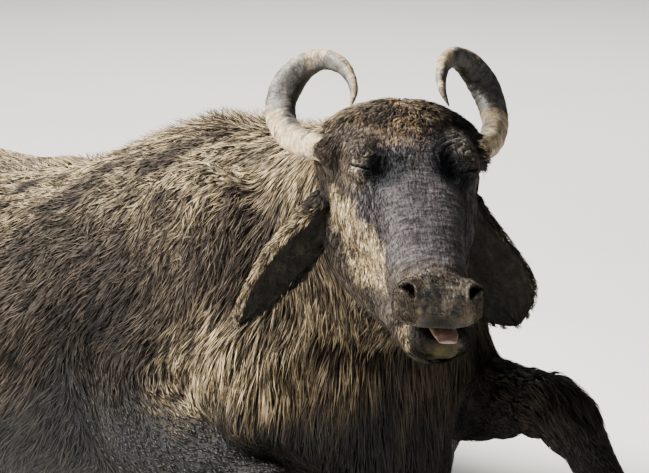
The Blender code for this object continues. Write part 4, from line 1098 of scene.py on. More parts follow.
class Coat:
    """What the hair is like at each spot of the skin."""

    def __init__(self, ears):
        self.ears = ears
        self.lines = limb_lines()

    def limb(self, points):
        """How far each point is on a leg or the tail, which way that runs, and whether it is the tail."""
        spots, ways, halves, tails = self.lines
        on = np.empty(len(points))
        nearest_one = np.empty(len(points), int)
        for start in range(0, len(points), AT_ONCE):
            part = slice(start, start + AT_ONCE)
            away = np.linalg.norm(points[part, None, :] - spots[None], axis=2) / halves
            nearest_one[part] = away.argmin(axis=1)
            on[part] = away.min(axis=1)
        return soft_step(on, 2.1, 1.4), ways[nearest_one], tails[nearest_one]

    def ear(self, points):
        """1 on an ear, the place there, the ear's direction, and 1 in its cup or -1 on its mud."""
        on, down, rim, within = (np.zeros(len(points)) for _ in range(4))
        way = np.zeros((len(points), 3))
        for ear in self.ears:
            low, high = ear.spine.min(axis=0) - 0.08, ear.spine.max(axis=0) + 0.08
            close = np.nonzero(((points > low) & (points < high)).all(axis=1))[0]
            if not len(close):
                continue
            distance = nearest(ear.tree, points[close])[3]
            close = close[distance < 0.004]
            on[close] = 1
            down[close], rim[close], way[close], within[close] = ear.near(points[close])
        return on, down, rim, way, within

    def flow(self, points, normals, on_ear):
        """The way the hair points, along the skin."""
        x, y, z = points.T
        back = np.interp(y, LIE_AT, LIE_BACK)
        down = np.interp(y, LIE_AT, LIE_DOWN)
        breast = np.clip((z - BREAST_FOOT) / (BREAST_TOP - BREAST_FOOT), 0, 1)
        back = np.where((z < BREAST_TOP) & (y < 0), back * breast, back)
        way = np.stack((0 * x, back, -down), axis=1)
        on_limb, limb_way, tail = self.limb(points)
        on_limb = np.maximum(on_limb * soft_step(z, 0.36, 0.26), tail * on_limb)[:, None]
        way = way * (1 - on_limb) + limb_way * on_limb
        head = on_head(points, 0.05)[:, None]
        way = way * (1 - head) + self.face_flow(points) * head
        for side in (1, -1):
            over_horn = self.at_horn(points, side)[:, None]
            way = way * (1 - over_horn) + np.array(HEAD @ Vector(HORN_WAY) * side) * over_horn
        way = np.where(on_ear[0][:, None] > 0, on_ear[3] + (0, 0, -0.25), way)
        return unit(way - normals * dot(way, normals)[:, None])

    def at_horn(self, points, side, closer=0.0):
        """1 on the skin that the horn grows from, and 0 further off."""
        root = np.array(at_head(HORN[0][0] - 0.004, (HORN[0][1] + 0.012) * side, HORN[0][2]))
        return soft_step(np.linalg.norm(points - root, axis=1), 0.048 - closer, 0.030 - closer / 4)

    def face_flow(self, points):
        """Down the nose, out from the crown, and hanging from the cheeks and jaw."""
        u, v, w = in_head_frame(points).T
        axes = np.array(HEAD)
        crown = soft_step(u, 0.085, 0.02)
        cheek = soft_step(np.abs(v), 0.055, 0.095) * (1 - crown)
        hanging = np.maximum(cheek, soft_step(w, -0.10, -0.16))[:, None]
        down_nose = axes[:, 0] * (1 - 0.4 * crown)[:, None]
        v = v + 0.025 * noise(points, 0.035, 91)
        spread = np.sign(v) * (0.25 + 1.1 * crown) * soft_step(np.abs(v), 0.0, 0.03)
        top = down_nose + axes[:, 1] * spread[:, None]
        return top * (1 - hanging) + (np.array((0, 0, -1.0)) + axes[:, 0] * 0.35) * hanging

    def at(self, points, normals):
        """What the hair is like at each point, and how far it is of the short kind."""
        x, y, z = points.T
        u, v, w = in_head_frame(points).T
        head = on_head(points, 0.05)
        on_limb, _, tail = self.limb(points)
        on_limb = on_limb * soft_step(z, 0.30, 0.20)
        values = {name: np.full(len(points), value) for name, value in BODY_HAIR.items()}

        def blend(share, **wanted):
            for name, value in wanted.items():
                values[name] = values[name] * (1 - share) + value * share

        back = soft_step(z, 0.40, 0.52) * soft_step(y, -0.20, 0.0)
        blend(back, length=0.032, half=0.0012, tangle=1.9, clump=0.35, curl=0.0030, density=1.15)
        flank = soft_step(z, 0.44, 0.32) * soft_step(y, 0.15, 0.35)
        blend(flank, length=0.046, half=0.0011, tangle=0.55, clump=0.35, lift=0.11)
        neck = soft_step(y, -0.05, -0.20)
        blend(neck, length=0.046, half=0.0013, tangle=0.8, clump=0.7, density=1.25)
        ridge = bump(x + 0.15 * np.clip(-y, 0, 1), 0, 0.04) * (normals[:, 2] > 0.6)
        ridge = ridge * soft_step(y, 0.75, 0.55)
        blend(ridge, length=0.030, lift=0.75, half=0.0009, density=1.8, clump=0.1)
        breast = soft_step(y, -0.08, -0.24) * soft_step(z, 0.56, 0.44)
        blend(breast, length=0.070, half=0.0015, lift=0.13, fall=0.5, density=1.3, clump=1.0, tangle=0.7)
        belly = np.maximum(soft_step(z, 0.16, 0.08), soft_step(normals[:, 2], -0.45, -0.8))
        blend(belly, length=0.034, density=0.6, lift=0.1)
        blend(on_limb, length=0.017, half=0.0010, lift=0.10, density=1.7)
        blend(on_limb, fall=0, clump=0.5, tangle=0.6, short=1)
        blend(on_limb * soft_step(z, 0.10, 0.04), length=0.011, half=0.0008)
        blend(tail * on_limb, length=0.024, density=2.4, half=0.0011)
        switch = tail * on_limb * soft_step(z, 0.16, 0.08)
        blend(switch, length=0.085, density=3.0, half=0.0016, lift=0.10, short=0)
        blend(head, length=0.0100, half=0.0007, lift=0.15, density=3.6)
        blend(head, curl=0.0005, fall=0, clump=0.25, short=1)
        crown = head * soft_step(u + 0.7 * np.abs(v), 0.145, 0.090) * soft_step(w, -0.17, -0.10)
        blend(crown, length=0.027, half=0.0010, lift=0.26, curl=0.006, density=3.6, tangle=2.4, clump=0.7)
        bridge = head * soft_step(u, 0.16, 0.22) * soft_step(np.abs(v), 0.075, 0.05)
        blend(bridge, length=0.0075, half=0.0004, lift=0.07, density=1.3, clump=0)
        cheek = head * soft_step(np.abs(v), 0.05, 0.085)
        cheek = cheek * soft_step(u, 0.10, 0.17) * soft_step(u, 0.40, 0.33)
        blend(cheek, length=0.016, half=0.0009, lift=0.10, density=3.4, clump=0.6)
        jaw = head * soft_step(w, -0.16, -0.21) * soft_step(u, 0.40, 0.34)
        blend(jaw, length=0.040, half=0.0014, lift=0.2, fall=0.4, density=1.6, clump=0.7, short=0.3)
        chin = head * soft_step(u, 0.35, 0.39) * soft_step(w, -0.105, -0.125)
        blend(chin, length=0.020, half=0.0009, lift=0.32, density=4.2, clump=0.8, fall=0.3, short=1)
        for side in (1, -1):
            at_horn = self.at_horn(points, side)
            blend(at_horn, length=0.024, half=0.0010, lift=0.16, density=4.5, short=1)
            collar = self.at_horn(points, side, HORN_COLLAR)
            blend(collar, length=0.020, half=0.0009, lift=0.75, density=10, tangle=1.5)
        muzzle = head * soft_step(u, 0.385, 0.415) * soft_step(w, -0.118, -0.104)
        blend(muzzle, length=0.0080, half=0.0006, lift=0.22, density=4.0, tangle=1.8)
        values["density"] *= 1 - bare_skin(points)
        for side in (1, -1):
            a, b, out = in_eye(points, side)
            near_eye = (out > 0) * soft_step(np.hypot(a, b), 0.036, 0.022)
            blend(near_eye, length=0.0085, half=0.0007, lift=0.28, density=8.0, tangle=2.5)
            opening = (out > 0) * (np.abs(a) < 0.020) * (np.abs(b + 0.001) < 0.0035)
            values["density"] *= 1 - opening
        values["density"] *= 1 - 0.97 * (points[:, 2] < 0.004)
        on, down, rim, _, within = self.ear(points)
        blend(on, length=0.013, half=0.0008, lift=0.14, density=3.2, curl=0.001, fall=0, clump=0.4, short=1)
        blend(np.maximum(within, 0), length=0.006, half=0.0005, lift=0.06, density=1.2)
        root = on * soft_step(down, 0.16, 0.06)
        blend(root, length=0.022, half=0.0009, lift=0.22, density=6.0, tangle=1.5)
        fringe = on * np.maximum(soft_step(rim, 0.86, 0.94), soft_step(down, 0.94, 0.98))
        blend(fringe, length=0.016, half=0.0007, lift=0.30, density=5.5)
        values["cup"] = within
        values["face"] = head * (1 - on)
        return values


def scatter(skin, coat, count, short, draw):
    """Spots of one kind spread over the skin, more of them where the coat is denser."""
    data = skin.data
    data.calc_loop_triangles()
    corners = np.empty(len(data.loop_triangles) * 3, np.int32)
    data.loop_triangles.foreach_get("vertices", corners)
    corners = corners.reshape(-1, 3)
    points, normals = points_of(skin), normals_of(skin)
    a, b, c = (points[corners[:, k]] for k in range(3))
    area = np.linalg.norm(np.cross(b - a, c - a), axis=1) / 2
    middle = (a + b + c) / 3
    facing = unit(normals[corners].sum(axis=1))
    hair = coat.at(middle, facing)
    kind = hair["short"] if short else 1 - hair["short"]
    share = np.cumsum(area * hair["density"] * kind)
    picked = np.searchsorted(share, (np.arange(count) + draw.random(count)) / count * share[-1])
    picked = np.minimum(picked, len(corners) - 1)
    r1, r2 = np.sqrt(draw.random(count))[:, None], draw.random(count)[:, None]
    weights = (1 - r1, r1 * (1 - r2), r1 * r2)
    spots = sum(weight * points[corners[picked, k]] for k, weight in enumerate(weights))
    facing = unit(sum(weight * normals[corners[picked, k]] for k, weight in enumerate(weights)))
    return spots, facing


def turned(vectors, axes, angles):
    """Each vector turned about its own axis, which it stands square to."""
    c, s = np.cos(angles)[:, None], np.sin(angles)[:, None]
    return vectors * c + np.cross(axes, vectors) * s


def toward_lock(roots):
    """From each root to the middle of the lock that it belongs to, and that lock's tone."""
    cell = np.floor(roots / CLUMP)
    best = np.full(len(roots), np.inf)
    pull = np.zeros_like(roots)
    tone = np.zeros(len(roots))
    for shift in np.ndindex(3, 3, 3):
        here = cell + shift - 1
        middle = here + np.stack([hashed(here, 71 + k) for k in range(3)], axis=1)
        away = middle * CLUMP - roots
        far = (away**2).sum(axis=1)
        closer = far < best
        best = np.where(closer, far, best)
        pull[closer] = away[closer]
        tone[closer] = hashed(here[closer], 77)
    return pull, tone


def trace(tree, coat, roots, normals, hair, pull, steps, draw):
    """The middle line of each tuft: it follows the skin, lifts off it, and hangs where that turns away."""
    on_ear = coat.ear(roots)
    length = hair["length"] * (0.72 + 0.56 * draw.random(len(roots)))
    sway = draw.normal(0, 0.13, len(roots))
    phase = draw.random(len(roots)) * 2 * math.pi
    strand = noise(roots, 0.016, 31) * 0.40 + noise(roots, 0.055, 32) * 0.30 + sway
    strand *= hair["tangle"]
    spots, facing = roots - normals * UNDER_SKIN, normals
    rows = []
    for step in range(steps + 1):
        ahead = turned(coat.flow(spots, facing, on_ear), facing, strand)
        rows.append((spots, ahead, facing))
        if step == steps:
            return rows
        target = spots + ahead * (length / steps)[:, None]
        target[:, 2] -= hair["fall"] * length / steps * 0.5
        side = np.cross(ahead, facing)
        aside = hair["curl"] * np.sin(phase + 2.2 * step) + hair["clump"] * dot(pull, side) / steps
        target += side * aside[:, None]
        near, out, _, _ = nearest(tree, target)
        out = unit(out + facing * 0.6)
        wanted = hair["lift"] * length * (step + 1) / steps + OVER_SKIN
        gap = dot(target - near, out)
        target += out * np.maximum(wanted - gap, 0)[:, None]
        stick = np.clip(1 - 2 * hair["fall"], 0, 1) * 0.75
        target -= out * (np.maximum(gap - wanted, 0) * stick)[:, None]
        target[:, 2] = np.maximum(target[:, 2], HAIR_FLOOR)
        spots, facing = target, out


def tuft_points(path, half, shape, draw):
    """The points of each tuft: a three-sided section at each row of its shape, and the tip."""
    count = len(half)
    roll = draw.normal(0, 0.45, count)
    half = half * (0.75 + 0.5 * draw.random(count))
    points = np.empty((count, 3 * len(shape) + 1, 3))
    for k, (_, width, thick) in enumerate(shape):
        spots, ahead, facing = path[k]
        side = turned(unit(np.cross(ahead, facing)), ahead, roll)
        up = np.cross(side, ahead)
        points[:, 3 * k] = spots + side * (half * width)[:, None]
        points[:, 3 * k + 1] = spots - side * (half * width)[:, None]
        points[:, 3 * k + 2] = spots + up * (half * 0.75 * thick)[:, None]
    points[:, -1] = path[len(shape)][0]
    return points


def tuft_faces(rows):
    """Corners of one tuft's faces: bands of three, the tip and the closed root."""
    quads = []
    for row in range(rows - 1):
        for k in range(3):
            n = (k + 1) % 3
            quads.append((3 * row + k, 3 * row + n, 3 * row + 3 + n, 3 * row + 3 + k))
    last = 3 * (rows - 1)
    return quads + [(last + k, last + (k + 1) % 3, last + 3) for k in range(3)] + [(2, 1, 0)]


def tuft_mesh(name, points, patches, marks, shape):
    """One joined mesh of tufts, with each tuft's patch on the OFBake map and what its material reads."""
    count, each = points.shape[:2]
    across = np.append(np.tile((-1.0, 1.0, 0.0), len(shape)), 0)
    along = np.append(np.repeat([row[0] for row in shape], 3), 1)
    faces = tuft_faces(len(shape))
    one = np.concatenate([np.array(face) for face in faces])
    loops = (one[None] + each * np.arange(count)[:, None]).ravel().astype(np.int32)
    sizes = np.tile([len(face) for face in faces], count)
    starts = np.concatenate([[0], np.cumsum(sizes)[:-1]]).astype(np.int32)
    data = bpy.data.meshes.new(name)
    data.vertices.add(count * each)
    data.vertices.foreach_set("co", points.astype(np.float32).ravel())
    data.loops.add(len(loops))
    data.loops.foreach_set("vertex_index", loops)
    data.polygons.add(len(sizes))
    data.polygons.foreach_set("loop_start", starts)
    data.polygons.foreach_set("use_smooth", np.ones(len(sizes), bool))
    data.update(calc_edges=True)
    corner = np.stack((across[one] * 0.5, along[one] - 0.5), axis=1) * PATCH
    bake = (patches[:, None, :] + corner[None]).reshape(-1, 2)
    data.uv_layers.new(name="OFBake").data.foreach_set("uv", bake.astype(np.float32).ravel())
    tuft = np.empty((count, each, 3), np.float32)
    tuft[:, :, 0] = across
    tuft[:, :, 1] = along
    tuft[:, :, 2] = marks["tone"][:, None]
    obj = bpy.data.objects.new(name, data)
    store(obj, "tuft", tuft)
    for mark in ("cup", "face"):
        store(obj, mark, np.repeat(marks[mark], each))
    bpy.context.scene.collection.objects.link(obj)
    return obj


def unwrap(skin):
    """A light copy of the skin laid out flat in patches of its own shape."""
    flat = skin.copy()
    flat.data = skin.data.copy()
    bpy.context.scene.collection.objects.link(flat)
    flat.data.calc_loop_triangles()
    few = flat.modifiers.new("few", "DECIMATE")
    few.ratio = UNWRAP_TRIANGLES / len(flat.data.loop_triangles)
    apply_modifiers(flat)
    bpy.context.view_layer.objects.active = flat
    flat.select_set(True)
    bpy.ops.object.mode_set(mode="EDIT")
    bpy.ops.mesh.select_all(action="SELECT")
    bpy.ops.mesh.quads_convert_to_tris()
    bpy.ops.uv.smart_project(angle_limit=math.radians(66), island_margin=0.002)
    bpy.ops.object.mode_set(mode="OBJECT")
    return flat


def places_on(flat, roots):
    """Where each root lies on the flattened copy."""
    _, _, faces, _ = nearest(tree_of(flat), roots)
    data = flat.data
    corners = np.empty(len(data.loops), np.int32)
    data.loops.foreach_get("vertex_index", corners)
    corners = corners.reshape(-1, 3)[faces]
    uv = np.empty(len(data.loops) * 2)
    data.uv_layers.active.data.foreach_get("uv", uv)
    uv = uv.reshape(-1, 3, 2)[faces]
    a, b, c = (points_of(flat)[corners[:, k]] for k in range(3))
    ab, ac, ap = b - a, c - a, roots - a
    d00, d01, d11, d20, d21 = dot(ab, ab), dot(ab, ac), dot(ac, ac), dot(ap, ab), dot(ap, ac)
    under = np.maximum(d00 * d11 - d01 * d01, 1e-16)
    s = np.clip((d11 * d20 - d01 * d21) / under, 0, 1)[:, None]
    t = np.clip((d00 * d21 - d01 * d20) / under, 0, 1)[:, None]
    spot = uv[:, 0] * (1 - s - t) + uv[:, 1] * s + uv[:, 2] * t
    return np.clip(spot, PATCH, 1 - PATCH)


def grow_coat(skin, coat):
    """Every tuft of the coat, dealt out over several pieces so that their patches don't crowd."""
    draw = np.random.default_rng(COAT_SEED)
    tree = tree_of(skin)
    flat = unwrap(skin)
    made = []
    kinds = ((False, LONG_TUFTS, LONG_PIECES, LONG_ROWS), (True, SHORT_TUFTS, SHORT_PIECES, SHORT_ROWS))
    for short, count, pieces, shape in kinds:
        roots, normals = scatter(skin, coat, count, short, draw)
        hair = coat.at(roots, normals)
        pull, lock_tone = toward_lock(roots)
        path = trace(tree, coat, roots, normals, hair, pull, len(shape), draw)
        points = tuft_points(path, hair["half"], shape, draw)
        patches = places_on(flat, roots)
        tones = 0.5 * draw.random(count) + 0.5 * lock_tone
        for k in range(pieces):
            dealt = slice(k, None, pieces)
            marks = {"tone": tones[dealt], "cup": hair["cup"][dealt], "face": hair["face"][dealt]}
            made.append(tuft_mesh(f"coat_{len(made) + 1}", points[dealt], patches[dealt], marks, shape))
    bpy.data.objects.remove(flat, do_unlink=True)
    return made


# Horns, eyes, tongue and hooves


def horn(word, side):
    """A flattened tube that curls out, up and in, ringed across by shallow uneven ridges."""
    facing = Vector((math.cos(HEAD_PITCH), 0, math.sin(HEAD_PITCH)))
    across = facing * math.cos(HORN_TURN_OUT) + Vector((0, side, 0)) * math.sin(HORN_TURN_OUT)
    path = catmull((HORN_ROOT, *HORN), HORN_STATIONS)
    last = HORN_STATIONS - 1
    middles = []
    for i, (u, v, w, *_) in enumerate(path):
        level = min(i / last / HORN_SETTLE, 1)
        spot = Vector((u, v * side, w))
        middles.append(POLL + (HEAD @ spot) * (1 - level) + (LEVEL_HEAD @ spot) * level)
    rings = []
    for i, (u, v, w, half, deep) in enumerate(path):
        ahead = middles[min(i + 1, last)] - middles[max(i - 1, 0)]
        outward = ahead.cross(LEVEL_HEAD @ across).normalized()
        front = outward.cross(ahead).normalized()
        along = i / last
        fade = max(0, 1 - along * 1.2)
        wave = math.sin(2 * math.pi * (HORN_RIDGES * along + 0.5 * math.sin(17 * along)))
        coarse = math.sin(2 * math.pi * (9 * along + 0.2 * side))
        ridge = 1 + HORN_RIDGE * fade * (wave - abs(wave) * 0.4) + 0.016 * fade * coarse
        rings.append(ring(middles[i], outward, front, half * ridge,
                          deep * ridge, deep * ridge, 2.3, 2.3, HORN_SIDES))
    made = loft("horn_" + word, rings)
    points, normals = points_of(made), normals_of(made)
    toward = unit(np.mean(middles, axis=0) - np.array(middles))
    toward = np.append(np.repeat(toward, HORN_SIDES, axis=0), toward[[0, -1]], axis=0)
    # How far each point faces into the curl, which the material darkens as painted shade
    store(made, "inner", dot(normals, toward))
    rough = 0.0007 * noise(points, 0.009, 41) + 0.0004 * noise(points, 0.004, 42)
    tip = soft_step(np.linalg.norm(points - np.array(middles[-1]), axis=1), 0.01, 0.08)
    set_points(made, points + normals * (rough * tip)[:, None])
    store(made, "along", np.append(np.repeat(np.arange(HORN_STATIONS) / last, HORN_SIDES), (0, 1)))
    return made


def eyeball(word, side):
    centre = Vector(eye_frame(side)[0])
    return ball("eye_" + word, centre, [EYE_RADIUS] * 3, 48)


def tongue():
    """A thick tongue lying in the open mouth, with a shallow groove along its middle."""
    rings = []
    for u, v, w, half, thick in catmull(TONGUE, 40):
        rings.append(ring(at_head(u, v, w), HEAD.col[1], HEAD.col[2], half, thick, thick, 2.3, 2.3, 36))
    made = loft("tongue_piece", rings)
    points, normals = points_of(made), normals_of(made)
    local = in_head_frame(points)
    upper = normals @ np.array(HEAD.col[2]) > 0.3
    groove = 0.0016 * bump(local[:, 1], 0.006, 0.003) * upper
    rough = 0.0004 * noise(points, 0.003, 51)
    set_points(made, points + normals * (rough - groove)[:, None])
    return made


def claw(name, coronet, toe, dorsal, side):
    """One half of a cloven hoof, with low growth rings across it."""
    toe, up = Vector(toe).normalized(), Vector(dorsal)
    across = toe.cross(up).normalized() * side
    rings = []
    for t, half, height, inward in catmull(CLAW_SHAPE, 44):
        middle = Vector(coronet) + toe * (CLAW_LENGTH * t - 0.03)
        middle += across * (CLAW_APART * (1 + 0.25 * t) - CLAW_HALF * inward * 0.5)
        high = CLAW_HEIGHT * height
        ridge = 1 + 0.014 * math.sin(t * 60) * (1 - t)
        rings.append(ring(middle + up * high * 0.35, across, up, CLAW_HALF * half * 0.98 * ridge,
                          high * 0.65 * ridge, high * 0.35, 2.0, 3.5, 36))
    made = loft(name, rings)
    points = points_of(made)
    rough = 0.0006 * noise(points, 0.010, 61)
    set_points(made, flatten_foot(points + normals_of(made) * rough[:, None]))
    return made


# Materials


class Paint:
    """One material made of nodes. Each method adds a node and returns what comes out of it."""

    def __init__(self, name):
        self.material = bpy.data.materials.new(name)
        self.material.use_nodes = True
        self.tree = self.material.node_tree
        self.shader = self.tree.nodes["Principled BSDF"]
        self.place = self.add("ShaderNodeTexCoord").outputs["Object"]

    def add(self, kind, values=(), **settings):
        node = self.tree.nodes.new(kind)
        for name, value in settings.items():
            setattr(node, name, value)
        for name, value in dict(values).items():
            self.put(node.inputs[name], value)
        return node

    def put(self, socket, value):
        if isinstance(value, bpy.types.NodeSocket):
            self.tree.links.new(value, socket)
        else:
            socket.default_value = value

    def sum(self, operation, *values):
        """One arithmetic step on single numbers."""
        return self.add("ShaderNodeMath", enumerate(values), operation=operation).outputs[0]

    def times(self, *values):
        return self.sum("MULTIPLY", *values)

    def plus(self, *values):
        return self.sum("ADD", *values)

    def minus(self, *values):
        return self.sum("SUBTRACT", *values)

    def larger(self, *values):
        return self.sum("MAXIMUM", *values)

    def mark(self, name, kind="Fac"):
        """What a mesh keeps for each of its points."""
        return self.add("ShaderNodeAttribute", attribute_name=name).outputs[kind]

    def distance(self, spot):
        return self.step("DISTANCE", self.place, tuple(spot))

    def step(self, operation, *values):
        """One arithmetic step on vectors."""
        node = self.add("ShaderNodeVectorMath", enumerate(values), operation=operation)
        return node.outputs["Value" if operation in ("DISTANCE", "DOT_PRODUCT", "LENGTH") else "Vector"]

    def noise(self, scale, detail=3.0, roughness=0.55, where=None, stretch=None):
        where = where or self.place
        if stretch:
            where = self.step("MULTIPLY", where, stretch)
        values = {"Vector": where, "Scale": scale, "Detail": detail, "Roughness": roughness}
        return self.add("ShaderNodeTexNoise", values).outputs[0]

    def cells(self, scale):
        values = {"Vector": self.place, "Scale": scale}
        return self.add("ShaderNodeTexVoronoi", values).outputs["Distance"]

    def range(self, value, low, high, start=0.0, end=1.0):
        """Value brought from low..high to start..end, smoothly and no further."""
        values = {"Value": value, "From Min": low, "From Max": high, "To Min": start, "To Max": end}
        node = self.add("ShaderNodeMapRange", values, interpolation_type="SMOOTHSTEP")
        return node.outputs["Result"]

    def mix(self, share, first, second):
        node = self.add("ShaderNodeMix", data_type="RGBA")
        for socket, value in zip([node.inputs[0], node.inputs[6], node.inputs[7]], (share, first, second)):
            self.put(socket, value)
        return node.outputs[2]

    def shaded(self, colour, share):
        """Colour made darker or lighter by a number."""
        node = self.add("ShaderNodeVectorMath", {0: colour}, operation="SCALE")
        self.put(node.inputs["Scale"], share)
        return node.outputs["Vector"]

    def near(self, spot, inner, outer):
        """1 within inner of a spot, falling to 0 at outer."""
        return self.range(self.distance(spot), outer, inner)

    def raise_by(self, *layers):
        """Bump from pairs of a height from 0 to 1 and its depth in metres."""
        normal = None
        for value, depth in layers:
            values = {"Height": value, "Distance": depth, "Strength": 1.0}
            if normal is not None:
                values["Normal"] = normal
            normal = self.add("ShaderNodeBump", values).outputs["Normal"]
        self.put(self.shader.inputs["Normal"], normal)

    def finish(self, colour, roughness, specular=0.5):
        self.put(self.shader.inputs["Base Color"], colour)
        self.put(self.shader.inputs["Roughness"], roughness)
        self.put(self.shader.inputs["Specular IOR Level"], specular)
        return self.material


DARK_HAIR = (0.017, 0.014, 0.013, 1)
BROWN_HAIR = (0.056, 0.045, 0.036, 1)
SLATE = (0.050, 0.045, 0.049, 1)
TAN_MUD = (0.235, 0.175, 0.100, 1)
# Pale dried mud, also a painted highlight under the nostrils
PALE_MUD_AND_HIGHLIGHT = (0.42, 0.34, 0.215, 1)
CROWN_TAN = (0.26, 0.185, 0.115, 1)
# Black of wet hair, also used as painted shade in the eye hollows
WET_AND_SHADE_BLACK = (0.010, 0.011, 0.014, 1)
# Dark short hair and painted shade inside the ears' cups
CUP_HAIR_AND_SHADE = (0.015, 0.014, 0.012, 1)
MUZZLE_GREY = (0.080, 0.067, 0.048, 1)
MUZZLE_DARK = (0.013, 0.013, 0.014, 1)
CHIN_DARK = (0.008, 0.0075, 0.0055, 1)
CHIN_GREEN = (0.042, 0.035, 0.007, 1)
BROW_DUST = (0.16, 0.145, 0.125, 1)
LIP_PINK = (0.10, 0.050, 0.040, 1)
# Painted shade in the nostrils and between and round the lids
PIT_SHADE_BLACK = (0.006, 0.005, 0.005, 1)
HORN_CREAM = (0.45, 0.375, 0.245, 1)
HORN_OCHRE = (0.26, 0.190, 0.10, 1)
HORN_SLATE = (0.098, 0.093, 0.083, 1)
HORN_DARK = (0.030, 0.027, 0.025, 1)
EYE_BROWNS = (0.012, 0.007, 0.005, 1), (0.035, 0.020, 0.012, 1)
TONGUE_PINKS = (0.085, 0.046, 0.036, 1), (0.150, 0.092, 0.070, 1)
FLOOR_GREYS = (0.68, 0.67, 0.65, 1), (0.74, 0.73, 0.71, 1)
SKY = (0.80, 0.84, 0.90, 1)

# Spots of the foreleg and throat where mud clings: place, full and faded radius, and how thick
BODY_MUD = (
    (-0.290, -0.10, 0.31, 0.05, 0.13, 1.0),
    (-0.285, -0.21, 0.30, 0.05, 0.12, 1.0),
    (-0.190, -0.28, 0.38, 0.08, 0.20, 0.5),
)
CLEAN_SHOULDER = (-0.232, -0.138, 0.518)

# Spots of the right cheek where the mud has dried pale: u, v, w, full and faded radius
CHEEK_MUD = (
    (0.215, -0.098, -0.105, 0.026, 0.046),
    (0.270, -0.085, -0.108, 0.036, 0.054),
    (0.310, -0.068, -0.095, 0.026, 0.044),
    (0.165, -0.112, -0.115, 0.020, 0.038),
    (0.424, -0.046, -0.122, 0.006, 0.024),
)


def markings(paint):
    """The colours of skin and hair alike: how muddy, then how wet, each spot is, and its colour, with
    painted shade in the eye hollows and, partly, in the ears' cups.
    """
    _, y, height = paint.add("ShaderNodeSeparateXYZ", {0: paint.place}).outputs
    broad = paint.noise(3.2, 3)
    patchy = paint.noise(11.0, 4, 0.6)
    fine = paint.noise(60.0, 3, 0.6)
    cup = paint.mark("cup")
    hair = paint.mix(paint.range(broad, 0.38, 0.62), DARK_HAIR, BROWN_HAIR)
    hair = paint.mix(paint.near(at_head(0.25, 0.01, 0.0), 0.11, 0.16), hair, SLATE)
    crown = paint.near(at_head(0.075, -0.014, 0.0), 0.035, 0.095)
    crown = paint.times(crown, paint.range(fine, 0.40, 0.60, 0.2, 1.0))
    hair = paint.mix(paint.times(crown, paint.range(patchy, 0.40, 0.58)), hair, CROWN_TAN)
    level = paint.plus(height, paint.times(broad, 0.16))
    over_loin = paint.range(y, 0.25, 0.70, 0.0, 0.12)
    level = paint.plus(level, over_loin)
    mud = paint.times(paint.range(patchy, 0.34, 0.56), paint.range(level, 0.54, 0.73, 0.04, 1.0))
    for *spot, full, faded, most in BODY_MUD:
        more = paint.times(paint.near(spot, full, faded), paint.range(patchy, 0.30, 0.55, 0.2, most))
        mud = paint.larger(mud, more)
    off_face = paint.range(paint.distance(at_head(0.24, 0.03, -0.08)), 0.20, 0.30)
    clean = paint.range(paint.distance(CLEAN_SHOULDER), 0.05, 0.11, 0.15, 1.0)
    mud = paint.times(mud, paint.times(clean, off_face))
    hair = paint.mix(paint.near(at_head(0.455, 0.025, -0.115), 0.035, 0.055), hair, CHIN_DARK)
    brow = paint.times(paint.near(at_head(0.128, 0.082, -0.004), 0.020, 0.044), 0.45)
    hair = paint.mix(brow, hair, BROW_DUST)
    cheek = 0.0
    ragged = paint.times(paint.noise(34.0, 4, 0.65, stretch=(1.0, 1.0, 0.5)), 0.050)
    for u, v, w, full, faded in CHEEK_MUD:
        away = paint.plus(paint.distance(at_head(u, v, w)), ragged)
        cheek = paint.larger(cheek, paint.range(away, faded + 0.032, full + 0.020))
    drips = paint.noise(75.0, 4, 0.65, stretch=(1.0, 1.0, 0.16))
    drips = paint.range(drips, 0.34, 0.50, 0.3, 2.0)
    cheek = paint.times(cheek, drips)
    for side in (1, -1):
        centre = Vector(eye_frame(side)[0])
        ring_mud = paint.times(paint.near(centre, 0.024, 0.044), 0.45 if side < 0 else 0.2)
        cheek = paint.larger(cheek, paint.times(ring_mud, paint.range(fine, 0.35, 0.6)))
        # Painted shade: the hollow between each eye and the nose is darkened towards black, and its mud is
        # taken out.
        hollow = paint.near(at_head(0.186, 0.052 * side, -0.008), 0.026, 0.046)
        hair = paint.mix(hollow, hair, WET_AND_SHADE_BLACK)
        cheek = paint.times(cheek, paint.minus(1.0, hollow))
    mud = paint.larger(mud, cheek)
    # The inside of each ear's cup loses its mud and is darkened: its own dark short hair, and painted shade.
    mud = paint.times(mud, paint.range(cup, 0.0, 1.0, 1.0, 0.10))
    mud = paint.larger(mud, paint.times(drips, paint.range(cup, 0.0, -1.0, 0.0, 0.6)))
    hair = paint.mix(cup, hair, CUP_HAIR_AND_SHADE)
    mud_colour = paint.mix(paint.range(fine, 0.36, 0.60), TAN_MUD, PALE_MUD_AND_HIGHLIGHT)
    level = paint.plus(height, paint.times(paint.plus(patchy, broad), 0.16))
    wet = paint.range(level, 0.47, 0.33)
    return hair, mud, mud_colour, wet


